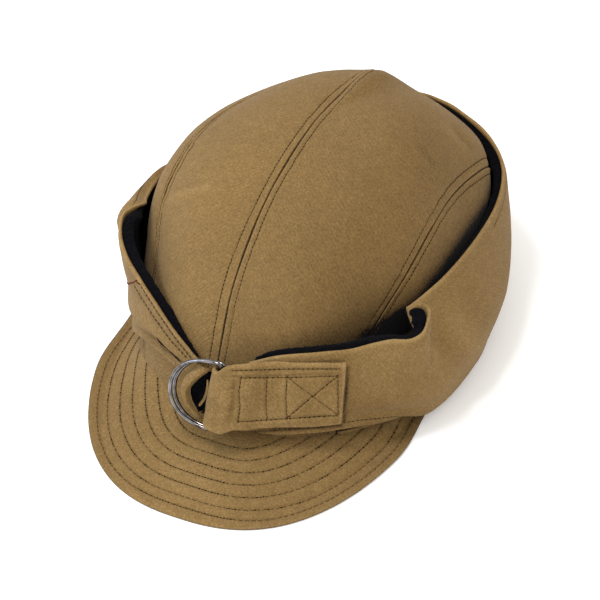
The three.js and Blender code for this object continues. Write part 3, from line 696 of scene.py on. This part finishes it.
CANVAS = canvas_material()
FLEECE = fleece_material()
NICKEL = nickel_material()
THREAD = thread_material("olive_thread", (0.026, 0.015, 0.005), (0.060, 0.038, 0.014))
SEAM_THREAD = thread_material("seam_thread", (0.066, 0.040, 0.014), (0.120, 0.076, 0.030))
TAN_THREAD = thread_material("tan_thread", (0.052, 0.031, 0.011), (0.105, 0.066, 0.025))
RED_THREAD = thread_material("bar_tack_thread", (0.07, 0.018, 0.008), (0.13, 0.04, 0.018))
# near-black colour of the discs at the needle holes: painted shade
HOLE_SHADE = thread_material("needle_hole_shade", (0.012, 0.007, 0.002), (0.022, 0.013, 0.004))


def crowded(count, ends):
    """Shares from 0 to 1, packed closer at the ends."""
    x = np.linspace(-1, 1, count)
    y = np.sign(x) * (1 - (1 - np.abs(x)) ** ends)
    return (y + 1) / 2


# Crown: four panels, pressed seams with a stitch row on each side
def crown_panel(side, edge_a, edge_b, rows, cols, trim, seams, stitches, seed):
    """A panel's face, its relief and tone, and each stitch row as distances from a seam and where it lies."""
    u = 0.5 - 0.5 * np.cos(math.pi * np.linspace(trim, 1 - trim, rows))
    width = np.maximum(4, length(crown_point(*edge_a(u).T) - crown_point(*edge_b(u).T)))
    v = crowded(cols, 1.7)[None]
    v = lerp(-PANEL_OVERLAP / width[:, None], 1 + PANEL_OVERLAP / width[:, None], v)
    way = unit(lerp(direction(edge_a(u))[:, None], direction(edge_b(u))[:, None], v[..., None]))
    alpha = np.arctan2(way[..., 0], -way[..., 1]) * side
    beta = np.arctan2(way[..., 2], np.hypot(way[..., 0], way[..., 1]))
    puff = 1.6 * np.clip(4 * v * (1 - v), 0, 1) ** 0.6 * smooth(4, 30, beta / RAD) - 0.5
    face = stand(crown_point(alpha, beta, puff, dents=True))
    from_a, from_b = v * width[:, None], (1 - v) * width[:, None]
    run = arc(face, 0)
    lift, shade = np.zeros(face.shape[:2]), np.zeros(face.shape[:2])
    rng = np.random.default_rng(seed)
    sewn = []
    for away, lip, rows_at in zip((from_a, from_b), seams, stitches):
        if lip is None:
            continue
        stitch = lerp(*rows_at, smooth(0.18, 0.36, u))[:, None]
        sewn.append((away, stitch[:, 0]))
        pucker = np.zeros_like(away)
        for pitch in (7.5, 10.5, 14.0):
            pucker += np.sin(run * (2 * math.pi / pitch) + rng.uniform(0, 6) + 1.2 * np.sin(run / 31 + pitch))
        seam = -0.6 * bell(away, 0.4) + lip * bell(away - 1.0, 0.75)
        seam += 0.22 * bell(away - 1.9, 1.3) - 0.34 * bell(away - stitch, 0.5)
        seam += 0.12 * pucker * bell(away - stitch, 2.6)
        # painted shade in the seam's valley and its stitch groove, painted highlight on the seam's lip
        tone = -0.85 * bell(away, 0.42) + 0.15 * bell(away - 1.0, 0.7) - 0.05 * bell(away - stitch, 0.5)
        covered = smooth(8, 20, beta / RAD) if side < 0 else 1.0
        lift += seam * covered
        shade += tone * covered
    lift += 0.32 * waves(face, 46, seed + 1) + 0.10 * waves(face, 17, seed + 2)
    # all panels a little darker, those on the wearer's left more: partly painted shade on the side turned
    # from the light, partly fading
    shade += 0.035 * waves(face, 60, seed + 3) - (0.15 if side > 0 else 0.09)
    # painted shade low in the dent at azimuth 52 degrees, where the flap's pouch stands off the crown
    shade -= 0.6 * bell(alpha / RAD - 52, 19) * (1 - smooth(14, 36, beta / RAD))
    return face, lift, shade, sewn


# crease lines in the photograph's pixels, with width and depth in millimetres; minus is a hollow
CREASES = [
    ([(165, 192), (186, 187), (215, 178)], 1.6, -0.45),
    ([(168, 197), (190, 192), (214, 185)], 2.4, 0.35),
    ([(420, 147), (429, 159), (437, 170)], 1.3, -0.35),
    ([(449, 124), (462, 137), (475, 151)], 1.5, -0.9),
    ([(443, 122), (456, 137), (468, 152)], 2.6, 0.5),
]
# where cloth lies in deep shade beside the flap: lines of pixels, width in millimetres and darkness
SHADES = [
    ([(497, 172), (493, 203), (471, 238), (447, 272), (423, 299), (404, 317)], 4.2, 1.3),
    ([(488, 195), (464, 230), (438, 263), (412, 292)], 9.0, 0.22),
    ([(419, 312), (404, 320), (391, 329), (378, 338), (364, 345)], 5.0, 2.6),
    ([(232, 351), (262, 346), (300, 341), (345, 335)], 5.5, 0.2),
]


def add_creases_and_painted_shade(face, lift, shade):
    n = normals(face) * outward(face)
    seen = n @ BACK > 0.05
    px = pixel_of(face)
    for strength, _, deep in strokes(px, CREASES, 0.001):
        lift += deep * strength * seen
        # hollows painted darker and ridges lighter: painted shade and painted highlight
        shade += 0.12 * np.sign(deep) * strength * seen
    # painted shade where the cloth lies beside the flap
    for strength, _, dark in strokes(px, SHADES):
        shade -= dark * strength * seen


# side, edges, rows and columns, trim, lip of each seam, its stitch row near the front and over the top, seed
PANELS = {
    "crown_right_side_panel": (
        -1, right_seam, right_base, 150, 60, 0.045, (0.1, None), ((3.2, 3.2), None), 11),
    "crown_right_top_panel": (
        -1, right_centre, right_seam, 220, 96, 0.0, (0.05, 0.12), ((6.1, 4.3), (3, 3)), 21),
    "crown_left_top_panel": (
        1, centre_edge, side_seam, 220, 96, 0.0, (0.1, 0.1), ((4.5, 4.1), (4.4, 4.4)), 31),
    "crown_left_side_panel": (
        1, side_seam, base_edge, 150, 60, 0.045, (0.45, None), ((4.6, 4.6), None), 41),
}
HIDDEN_ENDS = 12
crown_grids, crown_lines = [], []
for name, panel in PANELS.items():
    face, lift, shade, sewn = crown_panel(*panel)
    add_creases_and_painted_shade(face, lift, shade)
    top = sheet(name, face, CROWN_WALL, CANVAS, lift=lift, shade=shade, steps=2, inside_shade=-0.1)
    crown_grids.append(top)
    clear = slice(HIDDEN_ENDS, -HIDDEN_ENDS) if panel[0] < 0 else slice(None)
    crown_lines += [at_distance(top, away, stitch)[clear] for away, stitch in sewn]
stitching("crown_topstitching", Surface(*crown_grids), crown_lines, SEAM_THREAD, pitch=2.2, share=0.56,
          proud=0.06)


# Bill: stiff quilted peak, concentric rows of stitching
def bill_face(rows, cols):
    t, v = np.meshgrid(np.linspace(-1, 1, rows), crowded(cols, 1.5), indexing="ij")
    azimuth = t * BILL_HALF_ANGLE + TWIST
    start = crown_point(azimuth, 0.0, -1.6, dents=True)
    edge = BILL_HALF_WIDTH * np.sin(t * math.pi * 0.49) * (1 - 0.045 * smooth(0.8, 1, np.abs(t)))
    reach = BILL_FRONT_Y - BILL_LENGTH - BILL_END_Y
    ahead = (1 - np.abs(np.sin(t * math.pi * 0.49)) ** BILL_OUTLINE) ** 0.5
    xe = edge * math.cos(BILL_TURN) - reach * ahead * math.sin(BILL_TURN)
    ye = BILL_END_Y + reach * ahead + edge * math.sin(BILL_TURN)
    x, y = lerp(start[..., 0], xe, v), lerp(start[..., 1], ye, v)
    run = np.hypot(x - start[..., 0], y - start[..., 1])
    arched = BILL_RISE - BILL_ARCH * (x / BILL_HALF_WIDTH) ** 2
    z = lerp(-base_dip(azimuth), arched, smooth(0, 0.5, v)) - BILL_DROP * run
    near_root = (1 - smooth(-2, ROOT_REACH, run)) ** 1.5
    z += ROOT_RISE * bell(azimuth / RAD - ROOT_AZIMUTH, ROOT_SPREAD) * near_root
    return stand(stack(x, y, z))


bill = bill_face(300, 110)
rim = bill[:, -1]
rim_way = np.gradient(rim[:, :2], axis=0)
rim_in = unit(stack(-rim_way[:, 1], rim_way[:, 0]))


def from_rim(face):
    """Level distance of each point of the bill from its rim."""
    flat = face[..., :2].reshape(-1, 2)
    far = np.full(len(flat), 1e9)
    for a, b in zip(rim[:-1:3, :2], rim[3::3, :2]):
        way = b - a
        t = np.clip(((flat - a) @ way) / (way @ way), 0, 1)
        far = np.minimum(far, length(flat - a - t[:, None] * way))
    return far.reshape(face.shape[:2])


inward = from_rim(bill)
bill_lift, bill_shade = np.zeros(bill.shape[:2]), np.zeros(bill.shape[:2])
for row in ROW_FROM_RIM:
    bill_lift += -0.36 * bell(inward - row, 0.9)
    # painted shade in the grooves of the stitch rows
    bill_shade += -0.14 * bell(inward - row, 0.7)
bill_lift += 0.12 * waves(bill, 40, 61) + 0.06 * waves(bill, 9, 62)
bill_shade += 0.06 * bell(inward, 1.2) + 0.05 * waves(bill, 55, 63)
bill_surface = Surface(sheet("bill", bill, BILL_THICK, CANVAS, skin=0.6, lift=bill_lift, steps=4,
                             shade=bill_shade, floor=(1.2, 0.0), inside_shade=-0.05, toward=(0, 0, 1)))
bill_lines = []
for row in ROW_FROM_RIM:
    line = []
    for p, way in zip(rim[6:-6:2], rim_in[6:-6:2]):
        q = p[:2] + way * row
        hit = bill_surface.tree.ray_cast(Vector((q[0], q[1], 200.0)), Vector((0, 0, -1)))
        if hit[0] is not None and abs(length(rim[:, :2] - q).min() - row) < ROW_SLACK:
            line.append(np.array(hit[0]))
    bill_lines.append(np.array(line))
stitching("bill_stitching", bill_surface, bill_lines, TAN_THREAD, pitch=3.3, thread=0.62, share=0.62,
          holes=0.52, proud=0.10)


# Flap all round: canvas outside, fleece inside
def flap_face(angles, ts):
    row = read(FLAP, angles)
    low, high, fold, foot, belly, top, wide, roll = (row[:, k] for k in range(1, 9))
    alpha = np.where(angles > 180, angles - 360, angles) * RAD
    base = low - np.maximum(0, base_dip(alpha)) * fold
    short = np.minimum(1, (high - base) / 40)
    under = []
    for k in range(4):
        turned = math.pi * fold * (1 - k / 4)
        z = base + lerp(1.5 * k * short, 2 - 4.1 * np.sin(turned), fold)
        z = z + 2.5 * smooth(0.75, 1, fold) * (k == 0)
        under.append(stack(foot - (foot / 2 - 0.35) * (1 - np.cos(turned)), z))
    knots = np.stack([
        *under,
        stack(foot, base + lerp(7 * short, 6, fold)),
        stack(lerp(foot, belly, 0.75), lerp(base, high, 0.26)),
        stack(belly, lerp(base, high, 0.48)),
        stack(lerp(lerp(belly, top, 0.45), wide, roll), lerp(base, high, lerp(0.74, 0.82, roll))),
        stack(lerp(lerp(belly, top, 0.75), lerp(wide, top, 0.4), roll),
              lerp(base, high, lerp(0.88, 1.01, roll))),
        stack(top, high),
    ], 1)
    p = spline(knots, ts)
    curl = np.where((angles > 64) & (angles < 78), read(CURL, angles)[:, 1], 0)[:, None] * smooth(0.55, 1, ts)
    return stand(gap_point(alpha[:, None] + curl * RAD, p[..., 0], p[..., 1]))


# strap: two rows of stitching along its edge, from a bar tack to the rings, in the photograph's pixels
STRAP_ROWS = [
    [(138.5, 282), (149, 299), (160, 316), (175.5, 338.5), (191.5, 358.5)],
    [(134, 285), (144, 302), (155, 319), (171, 341), (187, 358)],
]
# creases of the flap: lines of pixels, width and depth in millimetres
FLAP_CREASES = [
    ([(433, 322), (446, 344), (466, 368)], 4.0, -0.9),
    ([(444, 306), (462, 332), (480, 350)], 5.0, 0.8),
    ([(462, 286), (478, 310), (490, 330)], 5.0, -0.6),
    ([(427, 336), (434, 352), (440, 370)], 3.0, 0.5),
    ([(137, 327), (149, 334.5), (166, 351), (187, 366)], 0.8, -1.0),
    ([(141, 338), (156, 346), (166, 355)], 1.6, -0.5),
    ([(150, 209), (158, 190), (166, 172)], 2.2, -0.7),
    ([(144, 207), (150, 190), (160, 175)], 1.8, 0.5),
    ([(128, 262), (134, 284), (136, 300)], 2.6, -0.5),
    (STRAP_ROWS[0], 0.7, -0.7),
    (STRAP_ROWS[1], 0.7, -0.7),
    ([(350, 372), (372, 384), (398, 392)], 5.0, 0.4),
]
# where the tab shades the flap, along its end and its lower edge
TAB_SHADOWS = [
    [(346.5, 367), (346, 395), (344, 422)],
    [(240, 433), (265, 430.5), (302, 428.5), (341, 426)],
]

angles = np.unique(np.round(np.concatenate([
    np.arange(FLAP_START, 48, 0.8), np.arange(48, 76, 0.4), np.arange(76, 284, 1.1), np.arange(284, 300, 0.6),
    np.arange(300, FLAP_END, 0.7), [FLAP_END]]), 3))
ts = np.concatenate([
    np.linspace(0, 0.5, 27)[:-1], np.linspace(0.5, 0.875, 19)[:-1], np.linspace(0.875, 1, 20)])
flap = flap_face(angles, ts)
from_top = arc(flap[:, ::-1], 1)[:, ::-1]
from_low = arc(flap, 1)
around = arc(flap, 0)
front_left = smooth(300, 318, angles)[:, None]
front_right = 1 - smooth(66, 84, angles)[:, None]
plain_hem = 1 - front_left
flap_lift, flap_shade = np.zeros(flap.shape[:2]), np.zeros(flap.shape[:2])
pucker = (np.sin(around * 0.72 + np.sin(around / 9)) + np.sin(around * 0.43 + 2 * np.sin(around / 23))) / 2
flap_lift += plain_hem * (0.10 * (1 - smooth(3.6, 5.2, from_top)) - 0.14 * bell(from_top - HEM_ROW, 0.6))
flap_lift += 0.10 * pucker * bell(from_top - 5.0, 3.0)
flap_lift += front_left * 0.2 * bell(from_top - 1.2, 1.0)
flap_lift += front_right * (-0.28 * bell(from_low - FOOT_ROW, 0.6) + 0.15 * (1 - smooth(2.2, 3.8, from_low)))
flap_lift += 0.4 * waves(flap, 42, 71) + 0.12 * waves(flap, 15, 72)
flap_px, flap_seen = pixel_of(flap), (normals(flap) * outward(flap)) @ BACK > 0.03
for strength, wide, deep in strokes(flap_px, FLAP_CREASES):
    flap_lift += deep * strength * flap_seen
    # hollows painted darker and ridges lighter, three times as strong in the narrow stitch grooves: painted
    # shade and painted highlight
    flap_shade += 0.10 * np.sign(deep) * strength * flap_seen * (3 if wide < 1 else 1)
# lighter along the upper edge, and painted shade in the hem row's groove
flap_shade += 0.22 * bell(from_top, 1.0) - 0.04 * bell(from_top - HEM_ROW, 0.6) * plain_hem
flap_shade += 0.06 * waves(flap, 60, 73)
for line in TAB_SHADOWS:
    flap_shade -= 0.8 * bell(along_line(flap_px, line)[0], 0.9) * flap_seen
flap_top = sheet("flap_canvas", flap, CANVAS_WALL, CANVAS, lift=flap_lift, shade=flap_shade,
                 floor=(0.0, 0.0), inside_shade=-0.05)
flap_surface = Surface(flap_top)

cut = int(np.searchsorted(ts, FLEECE_FROM))
lining = flap - normals(flap) * (outward(flap) * (CANVAS_WALL + CLOTH_GAP))
for _ in range(14):
    soft = lining.copy()
    soft[1:-1] = (lining[:-2] + 2 * lining[1:-1] + lining[2:]) / 4
    crowd = (bell(angles - 68, 6) + bell(angles - 300, 9))[:, None, None]
    lining = lerp(lining, soft, np.clip(crowd, 0, 1))
rise = FLEECE_RISE * (1 - smooth(46, 60, angles)) * smooth(10, 22, angles)
lining[..., 2] += rise[:, None] * smooth(0.9, 1, ts)
lining = lining[2:-2, cut:-2]
stand_off = np.maximum(0, read(FLAP, angles)[:, 6] - 4.7)[2:-2, None] * smooth(0.5, 1, ts)[None, cut:-2]
pile = np.minimum(3.6, 0.75 * stand_off) * (1 - bell(angles - 67, 5))[2:-2, None]
fuzz = pile + 0.22 * waves(lining, 2.6, 81, 14) + 0.18 * waves(lining, 6, 82)
sheet("flap_fleece", lining, FLEECE_WALL, FLEECE, sink=fuzz, steps=4, floor=(2.2, 2.2))


hem_rows = np.flatnonzero((angles > HEM_FROM) & (angles < HEM_TO))
foot_rows = np.flatnonzero(angles < FOOT_TO)
flap_lines = [at_distance(flap_top, from_top, HEM_ROW, hem_rows),
              at_distance(flap_top, from_low, FOOT_ROW, foot_rows)]
stitching("flap_stitching", flap_surface, flap_lines, SEAM_THREAD, thread=0.46, holes=0.44, proud=0.03)
strap_lines = [on_cloth(flap_surface, line) for line in STRAP_ROWS]
stitching("strap_stitching", flap_surface, strap_lines, THREAD, thread=0.8, share=0.94, holes=0, proud=0.0)
tack_lines = [on_cloth(flap_surface, [(134.5 + k, 283 - k), (137.5 + k, 285.5 - k)]) for k in (1.6, 2.8, 4)]
stitching("bar_tack", flap_surface, tack_lines, RED_THREAD, pitch=1.2, thread=0.8, share=0.95, holes=0,
          proud=0.12)


# Buckle frame: p to the wearer's left, q up the ring, n outward
ring_at, ring_out, ring_along = crown_ring(BUCKLE_AZIMUTH, BUCKLE_HEIGHT)
BUCKLE_AT = ring_at + ring_out * BUCKLE_OFF
BUCKLE_OUT = np.array([*(ring_out[:2] * math.cos(RING_LEAN)), math.sin(RING_LEAN)])
BUCKLE_UP = -np.cross(BUCKLE_OUT, ring_along)
BUCKLE_UP = BUCKLE_UP if BUCKLE_UP[2] >= 0 else -BUCKLE_UP


def buckle_point(p, q, n_out):
    p, q, n_out = (np.asarray(x, float)[..., None] for x in np.broadcast_arrays(p, q, n_out))
    return stand(BUCKLE_AT + ring_along * p + BUCKLE_UP * q + BUCKLE_OUT * n_out)


def ring_loop(shift_p, shift_q, shift_n, turn_deg):
    half, depth = (RING_HEIGHT - RING_WIRE) / 2, RING_DEPTH - RING_WIRE
    a = (np.arange(21) / 20 - 0.5) * math.pi
    loop = [(-depth * math.cos(x) ** 0.8 if math.cos(x) > 1e-9 else 0.0, half * math.sin(x)) for x in a]
    loop += [(1.2, half * 0.93), (1.9, half * 0.8), (1.9, half * 0.4), (1.9, 0), (1.9, -half * 0.4),
             (1.9, -half * 0.8), (1.2, -half * 0.93)]
    loop = np.array(loop)
    turn = turn_deg * RAD
    return buckle_point(shift_p + loop[:, 0] * math.cos(turn), shift_q + loop[:, 1],
                        shift_n - loop[:, 0] * math.sin(turn))


for name, shifts in (("ring_outer", (0.6, 0.4, 0.6, 3)), ("ring_inner", (1.1, -0.4, -2.6, 0))):
    keep([wire(name, ring_loop(*shifts), WIRE_SHOWN / 2, NICKEL)], [name])


# Tab folded round the ring bars: steps from the fold's front, rise of its top edge and of its bottom edge
TAB_FLARE = np.array([
    [-2, 0, 0], [-1, 3.6, 0], [0, 5.8, 0], [1, 6, 2.3], [2, 5.4, 1.7], [3, 3.4, 0.7], [4, 3, 0], [6, 2, 0],
    [8, 1.2, -1], [10, 0, -2], [12, -2, -3.2],
])


def tab_face(cols):
    share = np.linspace(0, 1, cols)
    rows = []
    for k, (along, out) in enumerate(TAB_SECTION):
        _, high, low = read(TAB_FLARE, k - 10)
        up = lerp(-TAB_WIDTH / 2 + low, TAB_WIDTH / 2 + high, share)
        rows.append(buckle_point(along + 1, up, out))
    for i in range(1, 13):
        t = i / 12
        _, high, low = read(TAB_FLARE, i)
        up = lerp(-TAB_WIDTH / 2 + low, TAB_WIDTH / 2 + high, share)
        angle = lerp(13.2, 43, t)
        z = lerp(lerp(13.6, 18, t) + low, lerp(44.4, 48.7, t) + high, share)
        gap = lerp(13.2, read(FLAP, angle)[5] + TAB_THICK + 0.4, smooth(0, 0.45, t))
        settled = stand(gap_point(angle * RAD, np.full(cols, gap), z))
        flat = buckle_point(9 + 5 * i, up, 4.6 - 0.5 * i)
        rows.append(lerp(flat, settled, min(1, i / 3)))
    return np.array(rows)


# rows of the tab from here on are its front leaf, which carries the stitching
FRONT_LEAF = 80
coarse = tab_face(57)
tab = np.moveaxis(spline(np.moveaxis(coarse, 0, 1), np.linspace(0, 1, 211)), 1, 0)
tab_up = arc(tab, 1)
tab_high = arc(tab[:, ::-1], 1)[:, ::-1]
tab_px = pixel_of(tab)
tab_lift, tab_shade = np.zeros(tab.shape[:2]), np.zeros(tab.shape[:2])
tab_front = smooth(0.40, 0.46, np.linspace(0, 1, len(tab)))[:, None]
# stitch lines of the tab in the photograph's pixels: up and down, along, and crossed
TAB_LINES = [
    [(241, 378), (239, 392), (240, 407), (238, 422)],
    [(267, 378), (266, 400), (267, 421)],
    [(287, 377), (286, 397), (287, 418)],
    [(338, 376), (338, 396), (338, 415)],
    [(241, 378), (288, 377.5), (338, 376)],
    [(238, 422), (288, 418.5), (338, 415.5)],
    [(232, 370.5), (262, 369.8), (300, 368.8), (341, 369)],
    [(287, 377), (312, 396), (338, 415)],
    [(287, 418), (312, 397), (338, 376)],
]
# depth of the dent along each of them
TAB_DENTS = [0.7, 0.55, 0.55, 0.55, 0.55, 0.55, 0.36, 0.36, 0.36]
# creases of the tab: lines of pixels, width and depth in millimetres
TAB_CREASES = [
    ([(224, 377.5), (236, 376.6), (250, 376.2), (290, 375.2), (338, 373)], 0.55, -0.75),
    ([(228, 372.5), (260, 371.8), (300, 370.4), (340, 368.8)], 0.5, -0.4),
    ([(219, 388), (228, 389.5), (236, 387)], 0.9, -0.5),
    ([(217, 394), (226, 397)], 0.9, -0.45),
    ([(218, 408), (228, 411), (236, 409)], 1.1, -0.4),
    ([(244, 386), (252, 397), (262, 407)], 2.0, 0.35),
    ([(222, 380), (224, 400), (222, 420)], 3.0, 0.45),
    ([(272, 384), (277, 400), (274, 415)], 3.0, 0.35),
    ([(235, 378), (234, 400), (231, 421)], 1.5, -0.9),
    ([(341, 372), (341.5, 395), (339.5, 420)], 0.8, -0.25),
]
for k, (line, depth) in enumerate(zip(TAB_LINES, TAB_DENTS)):
    away, share = along_line(tab_px, line)
    wave = np.sin(share * (23 + 5 * (k % 3)) + k) * 0.5 + np.sin(share * 51 + 2 * k) * 0.5
    tab_lift -= tab_front * depth * bell(away, 0.65)
    tab_lift += tab_front * (0.16 + 0.10 * wave) * (bell(away - 1.7, 1.0) + bell(away + 1.7, 1.0))
    # painted shade in the stitch dents
    tab_shade -= tab_front * 0.10 * bell(away, 0.45)
for strength, _, deep in strokes(tab_px, TAB_CREASES, power=0.4):
    tab_lift += tab_front * deep * strength
    # painted shade in the crease hollows
    tab_shade += tab_front * 0.3 * min(deep, 0) * strength
tab_lift += 0.16 * waves(tab, 13, 91) + 0.10 * waves(tab, 6, 92)
end_run = arc(tab[::-1], 0)[::-1]
tab_shade += 0.16 * bell(tab_high, 0.9) + 0.14 * bell(tab_up, 0.9) + 0.22 * bell(end_run, 0.8)
tab_shade += 0.07 * waves(tab, 17, 93) - 0.10 * (1 - tab_front)
tab_top = sheet("ring_tab", tab, TAB_THICK, CANVAS, lift=tab_lift, shade=tab_shade, steps=4,
                toward=(0, -1, 0))
tab_surface = Surface(tab_top[FRONT_LEAF:])
tab_lines = [on_cloth(tab_surface, line) for line in TAB_LINES]
stitching("tab_stitching", tab_surface, tab_lines, SEAM_THREAD, seed=17)


# Strap end turned back through the rings
def leaf_face(edges, section, reach, droop, flatten, rows, cols):
    half = (RING_HEIGHT - 2 * RING_WIRE) / 2
    q = np.linspace(-1, 1, cols)
    sides = read(edges, q)
    fine = spline(section[None], np.linspace(0, 1, rows))[0]
    return np.array([
        buckle_point(lerp(sides[:, 1], sides[:, 2], share), q * half * reach - 0.6,
                     out * (1 - flatten * q * q) - droop * q * q) for share, out in fine])


turned = leaf_face(TURN_EDGES, TURN_SECTION, 0.82, 2, 0.68, 40, 60)
sheet("strap_end", turned, CANVAS_WALL, CANVAS, steps=4, toward=(0.6, -0.8, 0))
pocket = leaf_face(POCKET_EDGES, POCKET_SECTION, 0.62, 0.6, 0, 24, 40)
sheet("strap_end_fleece", pocket, POCKET_WALL, FLEECE, toward=(0.3, -0.9, 0))
# turned edge of the strap end seen in its mouth: along, up, out of the buckle
MOUTH = [(-4.6, 6.5, -1.4), (-3.9, 4.0, -0.8), (-3.7, 0.6, -0.6), (-4.5, -3.4, -0.8), (-6.6, -7.4, -1.2),
         (-7.4, -7.6, -2.6), (-5.6, -3.4, -2.4), (-4.9, 0.6, -2.2), (-5.0, 4.0, -2.4), (-5.4, 6.3, -2.6)]
MOUTH_EDGE = 0.42
mouth = np.array([buckle_point(*p) for p in MOUTH])
keep([wire("strap_end_edge", mouth, MOUTH_EDGE, CANVAS, sides=8)], [])


# Floor, light and camera
def area_light(name, where, size, power, colour):
    data = bpy.data.lights.new(name, "AREA")
    data.shape, data.size, data.energy, data.color = "DISK", size, power, colour
    obj = link(name, data)
    obj.location = where
    obj.rotation_mode = "QUATERNION"
    obj.rotation_quaternion = (Vector((0, 0, 0.05)) - Vector(where)).to_track_quat("-Z", "Y")


FLOOR_REACH = 4
corners = [(x * FLOOR_REACH, y * FLOOR_REACH, 0) for x, y in ((-1, -1), (1, -1), (1, 1), (-1, 1))]
mesh = bpy.data.meshes.new("floor")
mesh.from_pydata(corners, [], [(0, 1, 2, 3)])
mesh.materials.append(Paint("studio_floor", Roughness=0.9, Base_Color=(0.93, 0.93, 0.93, 1),
                            Emission_Color=(1, 1, 1, 1), Emission_Strength=0.16).material)
floor = link("floor", mesh)

area_light("key", (-0.30, -0.30, 1.42), 0.32, 8.0, (1.0, 0.99, 0.99))
area_light("fill", (-1.0, -0.8, 0.9), 0.9, 10.0, (0.76, 0.94, 1.3))
world = bpy.data.worlds.new("studio")
bpy.context.scene.world = world
world.use_nodes = True
sky = world.node_tree.nodes["Background"].inputs
sky["Color"].default_value, sky["Strength"].default_value = (1.0, 0.985, 0.955, 1), 1.04
bpy.context.scene.view_settings.view_transform = "Standard"

camera = link("camera", bpy.data.cameras.new("camera"))
bpy.context.scene.camera = camera
camera.data.sensor_width, camera.data.lens = SENSOR, LENS
camera.data.clip_start, camera.data.clip_end = 0.05, 20
camera.location = Vector(place(EYE))
camera.rotation_mode = "QUATERNION"
camera.rotation_quaternion = Vector(-BACK).to_track_quat("-Z", "Y")
